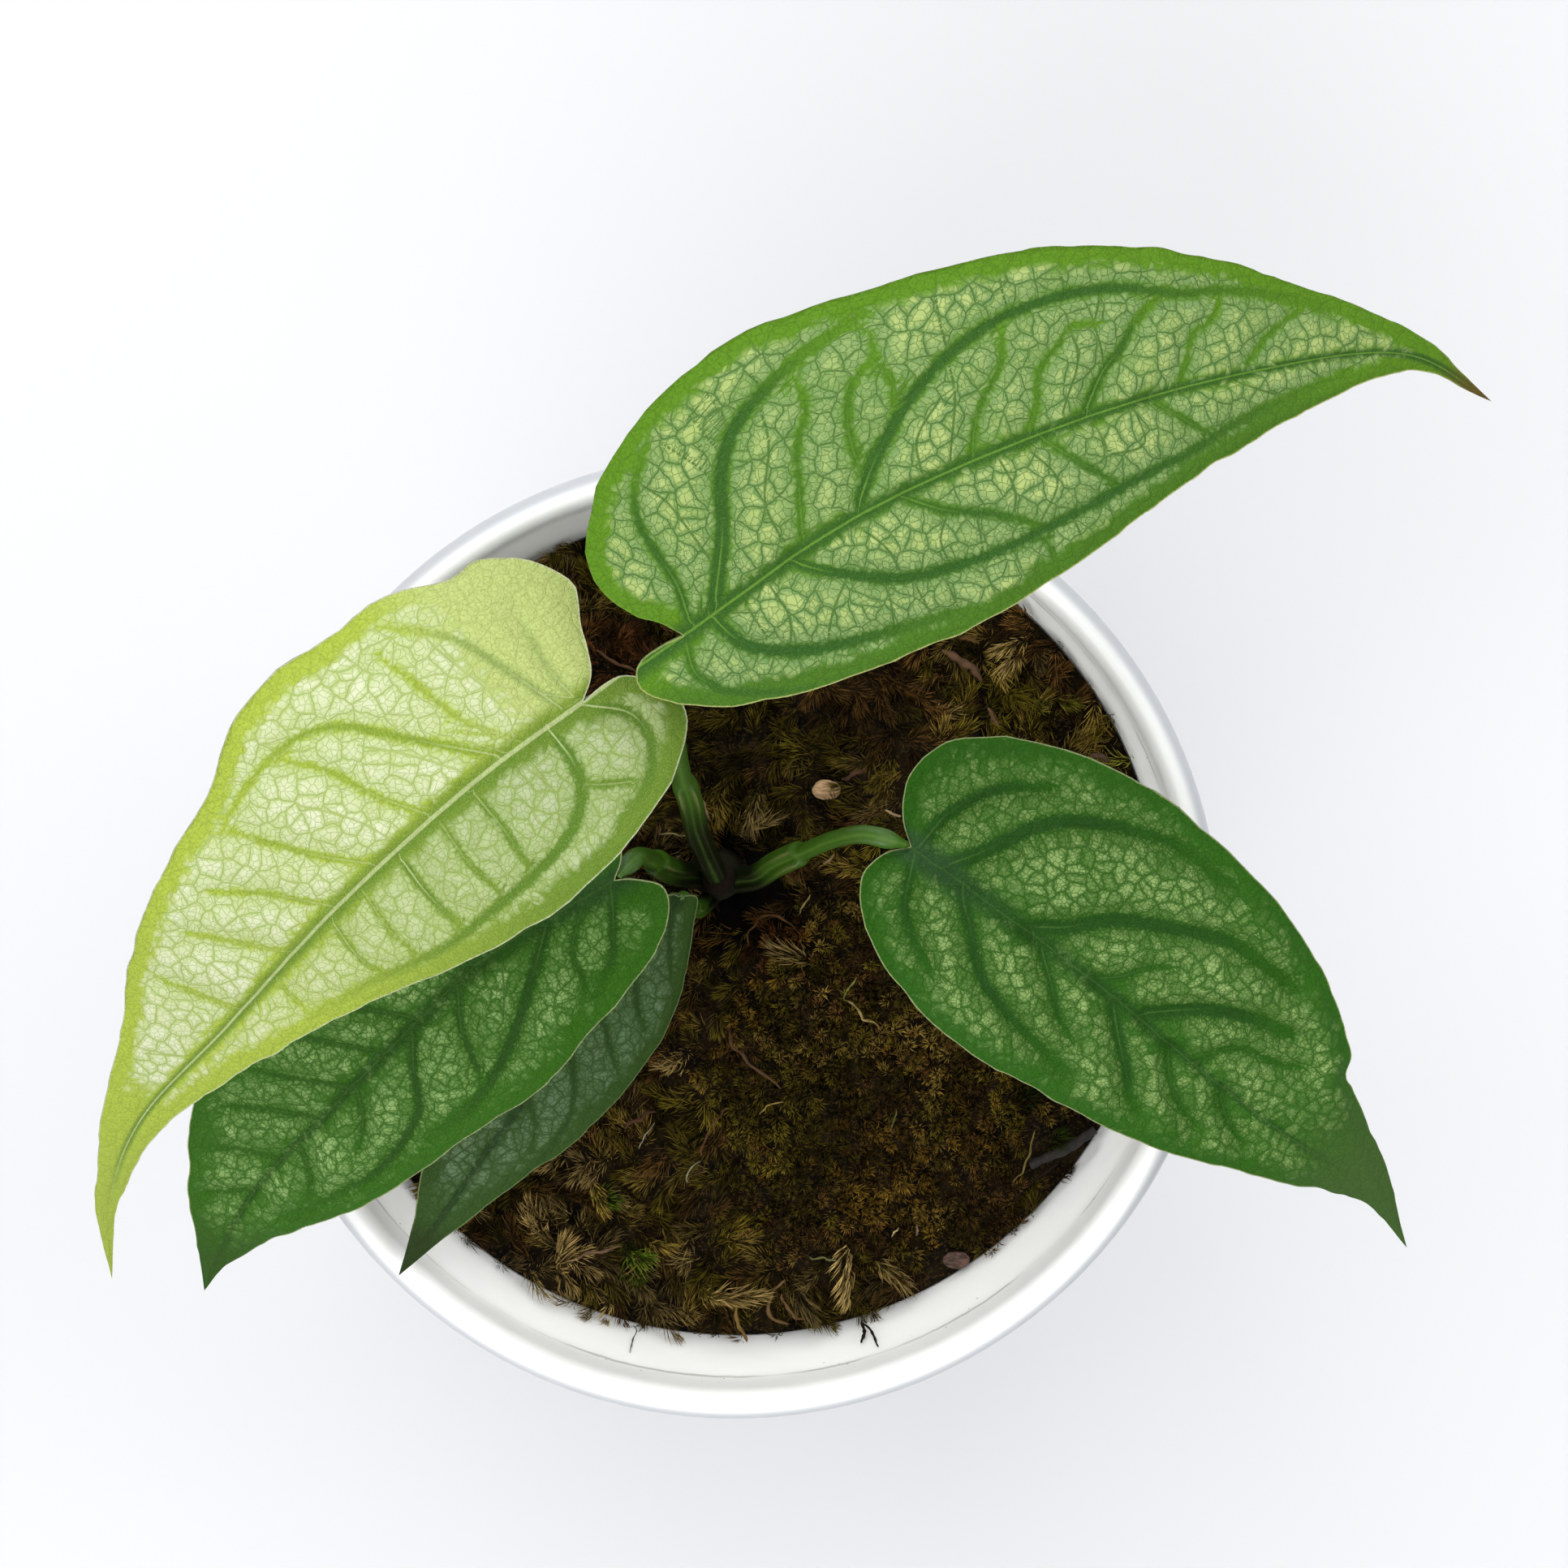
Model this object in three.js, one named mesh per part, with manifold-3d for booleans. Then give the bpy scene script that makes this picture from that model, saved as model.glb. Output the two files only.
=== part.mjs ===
// Potted juvenile Monstera siltepecana, seen mostly from above: a glossy white pot with a rolled
// rim, potting mix under a mat of moss, and a short stem with five silvery leaves on long stalks.
// Millimetres, +Z up. The origin is the centre of the pot's foot, on the surface it stands on.
import * as THREE from "three";
import { mergeVertices } from "three/addons/utils/BufferGeometryUtils.js";
import Module from "manifold-3d";

const wasm = await Module();
wasm.setup();

// Driving dimensions
const RIM_DIAMETER = 121;
const POT_HEIGHT = 100;
const FOOT_DIAMETER = 82;
const WALL = 2.6;
const LIP_WIDTH = 3.8;
const LIP_ROUND = 3.6;
const FLOOR_TOP = 5;
const FOOT_RING_WIDTH = 3;
const FOOT_RECESS = 2;
const FOOT_CENTRE_DIAMETER = 18;
const DRAIN_HOLE_DIAMETER = 3.6;
const DRAIN_HOLES = 5;
const POT_SEGMENTS = 48;

const GAP = 0.3;

const MIX_TOP = 79;
const MOSS_EDGE_TOP = 83;
const MOSS_CENTRE_TOP = 87.5;

const STEM_RADIUS = 3;
const STEM_FOOT = new THREE.Vector3(-3, 6, 58);
const STEM_TOP = new THREE.Vector3(-2, 7.5, 95);
const STEM_NODES = 4;
const NODE_SWELLING = 0.1;
const ROOTS = 6;
const ROOT_RADIUS = { start: 1.3, end: 0.7 };

const BLADE_THICKNESS = 0.8;
const LOBE_ROWS = 9;
const LOBE_CROWDING = 1.6;
const BODY_ROWS = 18;
const MARGIN_SAMPLES = 400;
const BLADE_COLUMNS = 4;
const COLUMN_CROWDING = 1.25;
const VEIN_SLANT = 1.25;
const VEIN_BEND = { along: 0.3, out: 0.6 };
const KEEL_DEPTH = 1.1;

const DEG = Math.PI / 180;
const { lerp, smoothstep, clamp } = THREE.MathUtils;

// The five leaves, the highest first. A midrib runs in space from the stalk joint to the tip. An outline
// is drawn on the flattened blade: x along the midrib from the joint, y to the left of it seen
// from the joint, from the notch round the lobe to just before the tip.
const LEAVES = [
  {
    name: "leaf_1", colour: 0x5f8f46,
    midrib: [[-4.5, 41.5, 168], [13.5, 54, 171], [35, 63.5, 168], [56.5, 69.5, 158],
      [75.5, 71.5, 146], [86, 66.5, 138]],
    left: [[-1.2, 2.6], [-2.9, 4.6], [-4.3, 9], [-3.3, 13], [2, 18], [12, 21.7], [21, 22.5],
      [32.5, 21], [50, 18.5], [65, 14], [80, 7.5], [94, 2.2]],
    right: [[-3, 0.4], [-5.8, 0.1], [-7, -1.8], [-4.8, -5.4], [1.2, -9.8], [12.5, -14],
      [28, -16], [45, -13.7], [60, -9.6], [78, -5], [94, -1.6]],
    fold: 0.12, curl: 0.22, halfWidth: 30, roll: [4, 0], wave: 0.5, waveLength: 31,
    stalk: [[-2.4, 8, 94.5], [-3.6, 11.8, 102], [-4.4, 15.2, 110], [-4.8, 19, 119],
      [-5.6, 23.2, 129], [-6, 28, 139.5], [-5.8, 34.5, 153], [-4.9, 39.8, 163.5], [-3.6, 42, 168]],
    sheathEnd: 0.42, sheathRadius: 1.5, stalkRadius: 1.1,
  },
  {
    name: "leaf_2", colour: 0xb9d27c,
    midrib: [[-15.5, 34, 160], [-26.5, 26, 162], [-41.5, 12.5, 158], [-56, -3, 147],
      [-68.5, -16.5, 134], [-74, -28.5, 122], [-75.5, -39.5, 112]],
    left: [[-3, -0.2], [-5, 0.1], [-7, 1.8], [-8.7, 5.2], [-8.2, 7.6], [-6, 10.3], [-1.5, 13],
      [6, 15.6], [15.5, 16.5], [25, 15.3], [35, 12.6], [48, 8.4], [64, 4.7], [86, 2.2], [101, 0.9]],
    right: [[-2.5, -2], [-4.6, -7], [-6.6, -11], [-4, -16], [2.5, -19.3], [12, -22],
      [24, -22.8], [34, -19.6], [44.5, -17.2], [58.5, -13.3], [72, -7], [86, -3.2], [101, -1.3]],
    fold: 0.14, curl: 0.2, halfWidth: 30, roll: [0, -20], wave: 1.2, waveLength: 23,
    stalk: [[-2.6, 9, 88.5], [-4.6, 13.2, 93.5], [-5.4, 17, 101], [-6, 21, 110.5], [-7, 25.5, 121],
      [-9, 29, 133], [-12, 32, 146], [-14.6, 33.6, 156], [-16, 33.8, 160]],
    sheathEnd: 0.35, sheathRadius: 1.25, stalkRadius: 1,
  },
  {
    name: "leaf_3", colour: 0x3f7a34,
    midrib: [[-13.5, 11, 128], [-28, 2.5, 129], [-38, -7, 126], [-48.5, -18, 119],
      [-59, -30, 110], [-66, -43.5, 100]],
    left: [[-2, 1], [-4.6, 3.6], [-3.5, 6.6], [1.3, 10.3], [10.5, 14], [22, 16.2], [35.5, 14.3],
      [48, 12.7], [60, 9.4], [72, 4.3], [79, 1]],
    right: [[-2, -2], [-3.5, -6], [-1.5, -11], [5, -16], [15, -19], [27, -19.5], [40, -17.5],
      [50, -15], [58, -12.5], [68, -7], [77, -2.8]],
    fold: 0.2, curl: 0.25, halfWidth: 24, roll: [-8, -8], wave: 0.4, waveLength: 27,
    stalk: [[-3.8, 7.2, 89.5], [-6.6, 8.2, 96], [-8.4, 9.8, 104], [-10.2, 12.4, 116],
      [-11.5, 13, 125], [-13, 11.5, 128]],
    sheathEnd: 0.5, sheathRadius: 1.7, stalkRadius: 1.1,
  },
  {
    name: "leaf_4", colour: 0x35603a,
    midrib: [[-6.5, 7, 110], [-14, -2.5, 113], [-21.5, -12, 114], [-28, -21, 112],
      [-35, -31.5, 108], [-41.5, -41, 103]],
    left: [[-1.5, 2.1], [0.6, 4], [4.6, 7], [11, 10.2], [20, 11.3], [31.5, 9.5], [42.5, 5.5],
      [54, 1.8]],
    right: [[0.3, -1], [3, -4], [7, -8], [14, -11], [24, -12], [35, -10], [46, -5.3],
      [54, -2.2]],
    fold: 0.12, curl: 0.2, halfWidth: 18, roll: [-40, -10], wave: 0.3, waveLength: 25,
    stalk: [[-2.6, 4.8, 88.5], [-4.2, 3.9, 95], [-5.3, 5, 103.5], [-6, 6.8, 109.4]],
    sheathEnd: 0.6, sheathRadius: 1.2, stalkRadius: 0.95,
  },
  {
    name: "leaf_5", colour: 0x3a7230,
    midrib: [[21, 14.5, 124], [31, 7.5, 126], [44, -2.5, 123], [55.5, -12.5, 118],
      [68, -22.5, 111], [77.5, -29, 105], [84, -38.5, 98]],
    left: [[-2.8, 2.5], [-4.9, 7], [-3.2, 13], [4, 18.1], [14, 21.5], [28.5, 22], [43, 20.3],
      [53, 17], [60.7, 12.5], [62.3, 10.3], [65.5, 9.1], [72, 5.2], [80, 2]],
    right: [[-2, -2.4], [-2.5, -6], [1.5, -11], [9, -14.3], [20, -15.6], [33, -14], [47, -10.9],
      [61, -6.2], [72, -3.1], [82, -0.8]],
    fold: 0.18, curl: 0.25, halfWidth: 26, roll: [4, 0], wave: 0.4, waveLength: 28,
    stalk: [[-0.2, 6.6, 89.5], [2.6, 7.8, 96], [5.2, 10.3, 104.5], [8.5, 12.6, 112],
      [12.5, 15, 119.5], [15.7, 15.9, 123.6], [18.5, 15.4, 124.8], [20.4, 14.8, 124.2]],
    sheathEnd: 0.52, sheathRadius: 1.6, stalkRadius: 1.05,
  },
];

// Vertices at one place become one, and triangles that this collapses are dropped.
function weld(geometry) {
  const bare = new THREE.BufferGeometry();
  bare.setAttribute("position", geometry.getAttribute("position"));
  bare.setIndex(geometry.getIndex());
  const merged = mergeVertices(bare, 1e-3);
  const corners = merged.getIndex().array;
  const kept = [];
  for (let i = 0; i < corners.length; i += 3) {
    const [a, b, c] = [corners[i], corners[i + 1], corners[i + 2]];
    if (a !== b && b !== c && c !== a) kept.push(a, b, c);
  }
  merged.setIndex(kept);
  return merged;
}

function toSolid(geometry) {
  const welded = weld(geometry);
  const vertProperties = new Float32Array(welded.getAttribute("position").array);
  const triVerts = new Uint32Array(welded.getIndex().array);
  return new wasm.Manifold(new wasm.Mesh({ numProp: 3, vertProperties, triVerts }));
}

function fromSolid(solid) {
  const { numProp, vertProperties, triVerts } = solid.getMesh();
  const geometry = new THREE.BufferGeometry();
  const positions = new Float32Array((vertProperties.length / numProp) * 3);
  for (let i = 0; i < positions.length / 3; i += 1) {
    positions.set(vertProperties.subarray(i * numProp, i * numProp + 3), i * 3);
  }
  geometry.setAttribute("position", new THREE.BufferAttribute(positions, 3));
  geometry.setIndex(Array.from(triVerts));
  return geometry;
}

// A closed skin over a grid of rings: each ring has the same number of points, and the first and
// last rings are closed by a fan round their middle.
function skinRings(rings) {
  const count = rings[0].length;
  const positions = rings.flat().flatMap((point) => point.toArray());
  const corners = [];
  for (let i = 0; i + 1 < rings.length; i += 1) {
    for (let k = 0; k < count; k += 1) {
      const next = (k + 1) % count;
      const [a, b] = [i * count + k, i * count + next];
      const [c, d] = [a + count, b + count];
      corners.push(a, b, d, a, d, c);
    }
  }
  const ends = [[rings[0], 0, true], [rings.at(-1), (rings.length - 1) * count, false]];
  for (const [ring, start, isFirst] of ends) {
    const middle = new THREE.Vector3();
    ring.forEach((point) => middle.addScaledVector(point, 1 / count));
    const hub = positions.length / 3;
    positions.push(...middle.toArray());
    for (let k = 0; k < count; k += 1) {
      const [a, b] = [start + k, start + ((k + 1) % count)];
      corners.push(...(isFirst ? [hub, b, a] : [hub, a, b]));
    }
  }
  const geometry = new THREE.BufferGeometry();
  geometry.setAttribute("position", new THREE.Float32BufferAttribute(positions, 3));
  geometry.setIndex(corners);
  return geometry;
}

// A round tube along a curve, whose radius changes with the share of the way along it. It can be
// grown outwards all round, ends too, to cut a clearance for it.
function taperedTube(points, radiusAt, steps, sides, grow = 0) {
  const route = points.map((point) => point.clone());
  route[0].add(points[0].clone().sub(points[1]).setLength(grow));
  route.at(-1).add(points.at(-1).clone().sub(points.at(-2)).setLength(grow));
  const curve = new THREE.CatmullRomCurve3(route);
  const frames = curve.computeFrenetFrames(steps, false);
  const rings = [];
  for (let i = 0; i <= steps; i += 1) {
    const share = i / steps;
    const centre = curve.getPointAt(share);
    rings.push(Array.from({ length: sides }, (_, k) => {
      const angle = (k / sides) * 2 * Math.PI;
      const radius = radiusAt(share) + grow;
      return centre.clone()
        .addScaledVector(frames.normals[i], radius * Math.cos(angle))
        .addScaledVector(frames.binormals[i], radius * Math.sin(angle));
    }));
  }
  return skinRings(rings);
}

function addMesh(group, name, geometry, colour, roughness) {
  const flat = weld(geometry);
  flat.computeVertexNormals();
  const material = new THREE.MeshStandardMaterial({ color: colour, roughness, metalness: 0 });
  const mesh = new THREE.Mesh(flat, material);
  mesh.name = name;
  group.add(mesh);
  return mesh;
}

// Inside of the pot: a straight lower wall, a more open upper one, then the crease under the rim.
const CREASE = { radius: RIM_DIAMETER / 2 - 4, z: POT_HEIGHT - 8 };
const WALL_BEND = { radius: CREASE.radius - 6.4, z: CREASE.z - 18 };
const FLOOR_EDGE = { radius: FOOT_DIAMETER / 2 - 2, z: FLOOR_TOP };

function wallRadius(z) {
  const [low, high] = z < WALL_BEND.z ? [FLOOR_EDGE, WALL_BEND] : [WALL_BEND, CREASE];
  return lerp(low.radius, high.radius, (z - low.z) / (high.z - low.z));
}

function lathe(profile) {
  const points = profile.map(([radius, z]) => new THREE.Vector2(radius, z));
  return new THREE.LatheGeometry(points, POT_SEGMENTS).rotateX(Math.PI / 2);
}

// The lip is rolled: an arc of an ellipse from under its outer side, over the top, to its inside.
function lipArc() {
  const steps = 7;
  return Array.from({ length: steps + 1 }, (_, k) => {
    const turn = lerp(-30, 180, k / steps) * DEG;
    const out = (LIP_WIDTH / 2) * (Math.cos(turn) - 1);
    return [RIM_DIAMETER / 2 + out, POT_HEIGHT + LIP_ROUND * (Math.sin(turn) - 1)];
  });
}

// The underside rests on a ring and on a flat centre, and the drain holes open between them.
function potSolid() {
  const rim = RIM_DIAMETER / 2;
  const foot = FOOT_DIAMETER / 2;
  const centre = FOOT_CENTRE_DIAMETER / 2;
  const ring = foot - 1 - FOOT_RING_WIDTH;
  const cove = FLOOR_TOP + 1.5;
  const outsideOf = ({ radius, z }) => [radius + WALL, z];
  const shell = toSolid(lathe([
    [0, 0], [centre, 0], [centre + 0.5, FOOT_RECESS], [ring - 0.5, FOOT_RECESS], [ring, 0],
    [foot - 1, 0], [foot, 1], outsideOf(FLOOR_EDGE), outsideOf(WALL_BEND), [rim - 2, CREASE.z - 3],
    ...lipArc(), [CREASE.radius, CREASE.z], [WALL_BEND.radius, WALL_BEND.z],
    [wallRadius(cove), cove], [FLOOR_EDGE.radius - 2, FLOOR_EDGE.z], [0, FLOOR_EDGE.z],
  ]));
  let pot = shell;
  for (let i = 0; i < DRAIN_HOLES; i += 1) {
    const angle = (i / DRAIN_HOLES) * 2 * Math.PI;
    const drill = new THREE.CylinderGeometry(
      DRAIN_HOLE_DIAMETER / 2, DRAIN_HOLE_DIAMETER / 2, 3 * FLOOR_TOP, 10);
    drill.rotateX(Math.PI / 2).translate(
      (foot / 2) * Math.cos(angle), (foot / 2) * Math.sin(angle), FLOOR_TOP / 2);
    pot = pot.subtract(toSolid(drill));
  }
  return pot;
}

// The stem is short and upright, swollen at its nodes, with thick roots below.
function stemAt(share) {
  return new THREE.Vector3().lerpVectors(STEM_FOOT, STEM_TOP, share);
}

function stemRadius(share) {
  const node = Math.max(0, Math.cos(share * STEM_NODES * 2 * Math.PI)) ** 4;
  const taper = lerp(0.85, 1, smoothstep(share, 0, 0.4)) - 0.45 * smoothstep(share, 0.88, 1);
  return STEM_RADIUS * (taper + NODE_SWELLING * node);
}

function stemSolid(grow) {
  return toSolid(taperedTube([0, 1 / 3, 2 / 3, 1].map(stemAt), stemRadius, 20, 12, grow));
}

function rootSolid(index, grow) {
  const angle = ((index + 0.5) / ROOTS) * 2 * Math.PI;
  const start = stemAt(0.06 + 0.07 * (index % 3));
  const reach = 1 + 0.15 * Math.sin(5 * index);
  const route = [[0, 0], [9, -2], [20, -9], [28, -22], [30, -36]];
  const points = route.map(([out, down], step) => {
    const turn = angle + 0.12 * step * (index % 2 ? 1 : -1);
    return new THREE.Vector3(out * reach * Math.cos(turn), out * reach * Math.sin(turn), down).add(start);
  });
  const radiusAt = (share) => lerp(ROOT_RADIUS.start, ROOT_RADIUS.end, share);
  return toSolid(taperedTube(points, radiusAt, 8, 6, grow));
}

function stemWithRoots(grow) {
  let solid = stemSolid(grow);
  for (let index = 0; index < ROOTS; index += 1) solid = solid.add(rootSolid(index, grow));
  return solid;
}

// The potting mix fills the pot up to a flat top, with plain holes for the stem and roots.
function mixSolid() {
  const radiusAt = (z) => wallRadius(z) - GAP;
  const bottom = FLOOR_TOP + GAP;
  const body = toSolid(lathe([
    [0, bottom], [radiusAt(bottom) - 2.5, bottom], [radiusAt(bottom + 2), bottom + 2],
    [radiusAt(WALL_BEND.z), WALL_BEND.z], [radiusAt(MIX_TOP), MIX_TOP], [0, MIX_TOP],
  ]));
  return body.subtract(stemWithRoots(GAP));
}

// Top of the moss: a low dome, fuller against the wall at the back right, with a hollow round the
// stem and small hummocks.
function mossEdgeTop(angle) {
  return MOSS_EDGE_TOP + 4 * Math.max(0, Math.cos(angle - 35 * DEG)) ** 2;
}

function mossTop(x, y) {
  const share = Math.min(Math.hypot(x, y) / wallRadius(MOSS_EDGE_TOP), 1);
  const dome = lerp(MOSS_CENTRE_TOP, mossEdgeTop(Math.atan2(y, x)), share ** 3);
  const hollow = 5.5 * Math.exp(-(((x - STEM_TOP.x) ** 2 + (y - STEM_TOP.y) ** 2) / 7.5 ** 2));
  const hummocks = Math.sin(x / 2.6 + 1) * Math.cos(y / 2.9) + 0.6 * Math.sin((x + y) / 1.9 + 2);
  return dome - hollow + 0.6 * hummocks * (1 - share ** 6);
}

function mossGeometry() {
  const rings = 9;
  const stem = stemAt((MOSS_EDGE_TOP - STEM_FOOT.z) / (STEM_TOP.z - STEM_FOOT.z));
  const hole = STEM_RADIUS * (1 + NODE_SWELLING) + 2 * GAP;
  const ringAt = (share, isTop) => Array.from({ length: POT_SEGMENTS }, (_, k) => {
    const angle = (k / POT_SEGMENTS) * 2 * Math.PI;
    const height = isTop ? mossEdgeTop(angle) : MIX_TOP + GAP;
    const edge = wallRadius(height) - GAP;
    const x = lerp(stem.x + hole * Math.cos(angle), edge * Math.cos(angle), share);
    const y = lerp(stem.y + hole * Math.sin(angle), edge * Math.sin(angle), share);
    if (!isTop) return new THREE.Vector3(x, y, height);
    return new THREE.Vector3(x, y, share === 1 ? height : mossTop(x, y));
  });
  const loops = [ringAt(0, false)];
  for (let i = 0; i <= rings; i += 1) loops.push(ringAt(i / rings, true));
  loops.push(ringAt(1, false), ringAt(0, false));
  const corners = [];
  for (let i = 0; i + 1 < loops.length; i += 1) {
    for (let k = 0; k < POT_SEGMENTS; k += 1) {
      const next = (k + 1) % POT_SEGMENTS;
      const [a, b] = [i * POT_SEGMENTS + k, i * POT_SEGMENTS + next];
      corners.push(a, a + POT_SEGMENTS, b, b, a + POT_SEGMENTS, b + POT_SEGMENTS);
    }
  }
  const geometry = new THREE.BufferGeometry();
  const positions = loops.flat().flatMap((point) => point.toArray());
  geometry.setAttribute("position", new THREE.Float32BufferAttribute(positions, 3));
  geometry.setIndex(corners);
  return geometry;
}

// A blade is a sheet carried by its midrib: each side rises by the fold and sinks again by the
// curl, the whole is rolled about the midrib, and the margin has low waves.
function bladeSurface(leaf) {
  const curve = new THREE.CatmullRomCurve3(leaf.midrib.map((point) => new THREE.Vector3(...point)));
  const length = curve.getLength();
  const surface = (x, y, lift) => {
    const share = clamp(x / length, 0, 1);
    const along = curve.getTangentAt(share);
    const left = new THREE.Vector3(0, 0, 1).cross(along).normalize();
    const up = along.clone().cross(left);
    const roll = lerp(leaf.roll[0], leaf.roll[1], share) * DEG;
    const wave = leaf.wave * (y / leaf.halfWidth) ** 2 * Math.sin((2 * Math.PI * x) / leaf.waveLength);
    const height = leaf.fold * Math.abs(y) - (leaf.curl * y * y) / leaf.halfWidth + wave + lift;
    return curve.getPointAt(share)
      .addScaledVector(along, Math.min(x, 0) + Math.max(x - length, 0))
      .addScaledVector(left, y * Math.cos(roll) - height * Math.sin(roll))
      .addScaledVector(up, y * Math.sin(roll) + height * Math.cos(roll));
  };
  return { surface, length };
}

// Rows follow the side veins: each leaves the midrib behind its point of the margin and bends
// towards the tip. The rows of the lobe all start at the stalk joint, as its veins do. Both
// sides share their places on the midrib.
function bladeRows(outline, length) {
  const points = [[0, 0], ...outline, [length, 0]].map(([x, y]) => new THREE.Vector3(x, y, 0));
  const margin = new THREE.CatmullRomCurve3(points).getSpacedPoints(MARGIN_SAMPLES);
  let furthest = 0;
  const starts = margin.map(({ x, y }) => {
    furthest = Math.max(furthest, x - VEIN_SLANT * Math.abs(y));
    return furthest;
  });
  const lobeEnd = starts.findLastIndex((start) => start === 0);
  const pointAt = (place) => {
    const index = Math.min(Math.floor(place), MARGIN_SAMPLES - 1);
    return margin[index].clone().lerp(margin[index + 1], place - index);
  };
  const rows = [];
  for (let i = 0; i < LOBE_ROWS; i += 1) {
    rows.push({ start: 0, end: pointAt(lobeEnd * (i / LOBE_ROWS) ** LOBE_CROWDING) });
  }
  for (let i = 0; i < BODY_ROWS; i += 1) {
    const start = (length * i) / BODY_ROWS;
    const after = starts.findIndex((other) => other > start);
    const rise = starts[after] - starts[after - 1];
    rows.push({ start, end: pointAt(after - 1 + (start - starts[after - 1]) / rise) });
  }
  rows.push({ start: length, end: margin.at(-1) });
  return rows;
}

function rowPoints({ start, end }) {
  const bend = { x: lerp(start, end.x, VEIN_BEND.along), y: VEIN_BEND.out * end.y };
  return Array.from({ length: BLADE_COLUMNS + 1 }, (_, j) => {
    const share = (j / BLADE_COLUMNS) ** COLUMN_CROWDING;
    const [near, middle, far] = [(1 - share) ** 2, 2 * share * (1 - share), share ** 2];
    return [near * start + middle * bend.x + far * end.x, middle * bend.y + far * end.y];
  });
}

function bladeGeometry(leaf, clearance = 0) {
  const { surface, length } = bladeSurface(leaf);
  const half = BLADE_THICKNESS / 2 + clearance;
  const lastRow = LOBE_ROWS + BODY_ROWS;
  const positions = [];
  const corners = [];
  for (const [outline, isLeft] of [[leaf.left, true], [leaf.right, false]]) {
    const first = positions.length / 3;
    for (const row of bladeRows(outline, length)) {
      rowPoints(row).forEach(([x, y], j) => {
        const keel = j === 0 ? KEEL_DEPTH * (1 - clamp(x / length, 0, 1)) : 0;
        positions.push(...surface(x, y, half).toArray(), ...surface(x, y, -half - keel).toArray());
      });
    }
    const at = (i, j, isBottom) => first + 2 * (i * (BLADE_COLUMNS + 1) + j) + (isBottom ? 1 : 0);
    const quad = (a, b, c, d, turned) => {
      corners.push(...(turned ? [a, c, b, a, d, c] : [a, b, c, a, c, d]));
    };
    for (let i = 0; i < lastRow; i += 1) {
      for (let j = 0; j < BLADE_COLUMNS; j += 1) {
        for (const isBottom of [false, true]) {
          quad(at(i, j, isBottom), at(i + 1, j, isBottom), at(i + 1, j + 1, isBottom),
            at(i, j + 1, isBottom), isLeft === isBottom);
        }
      }
      const edge = BLADE_COLUMNS;
      quad(at(i, edge, true), at(i + 1, edge, true), at(i + 1, edge, false), at(i, edge, false), isLeft);
    }
  }
  const geometry = new THREE.BufferGeometry();
  geometry.setAttribute("position", new THREE.Float32BufferAttribute(positions, 3));
  geometry.setIndex(corners);
  return geometry;
}

// A stalk is thick along its sheath, runs on thinner, and swells a little where it meets the
// blade. It is cut clear of the stem, and of its blade by cuts shifted all round.
function stalkSolid(leaf) {
  const points = leaf.stalk.map((point) => new THREE.Vector3(...point));
  const radiusAt = (share) => {
    const thin = leaf.stalkRadius * lerp(1, 1.15, smoothstep(share, 0.85, 1));
    return lerp(leaf.sheathRadius, thin, smoothstep(share, leaf.sheathEnd, leaf.sheathEnd + 0.05));
  };
  let stalk = toSolid(taperedTube(points, radiusAt, 18, 8)).subtract(stemSolid(GAP));
  for (let turn = 0; turn < 360; turn += 90) {
    const [x, y] = [GAP * Math.cos(turn * DEG), GAP * Math.sin(turn * DEG)];
    stalk = stalk.subtract(toSolid(bladeGeometry(leaf, GAP).translate(x, y, 0)));
  }
  return stalk;
}

// Bits of litter lie on the moss. Each is lowered onto it until the gap that touching pieces keep.
function seatOn(ground, geometry) {
  const down = new THREE.Raycaster();
  const places = geometry.getAttribute("position");
  let lift = -Infinity;
  for (let i = 0; i < places.count; i += 1) {
    const above = new THREE.Vector3(places.getX(i), places.getY(i), 2 * POT_HEIGHT);
    down.set(above, new THREE.Vector3(0, 0, -1));
    const [hit] = down.intersectObject(ground);
    lift = Math.max(lift, hit.point.z + GAP - places.getZ(i));
  }
  return geometry.translate(0, 0, lift);
}

// A dark bit of twig lies at the front right with its outer end against the wall.
const TWIG = { radius: 0.7, innerEnd: [37.5, -30.5], outerAngle: -29, rise: 1.5 };

function twigGeometry() {
  const touch = wallRadius(MOSS_EDGE_TOP + TWIG.rise) - TWIG.radius - 2 * GAP;
  const angle = TWIG.outerAngle * DEG;
  const inner = new THREE.Vector3(...TWIG.innerEnd, 0);
  const outer = new THREE.Vector3(touch * Math.cos(angle), touch * Math.sin(angle), TWIG.rise);
  const middle = inner.clone().lerp(outer, 0.5).add(new THREE.Vector3(0.3, -0.2, 0.3));
  return taperedTube([inner, middle, outer], (share) => TWIG.radius * lerp(0.8, 1, share), 6, 6);
}

function litterGeometry({ x, y, length, width, height, turn }) {
  const piece = new THREE.SphereGeometry(1, 10, 6);
  return piece.scale(length / 2, width / 2, height / 2).rotateZ(turn * DEG).translate(x, y, 0);
}

const LITTER = [
  { name: "bark_flake", x: 11.5, y: 18, length: 3.6, width: 2.4, height: 0.9, turn: 12, colour: 0xb59f82 },
  { name: "seed_husk", x: 28.3, y: -43, length: 3.6, width: 1.9, height: 1.2, turn: 25, colour: 0x2d1d18 },
];

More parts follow.
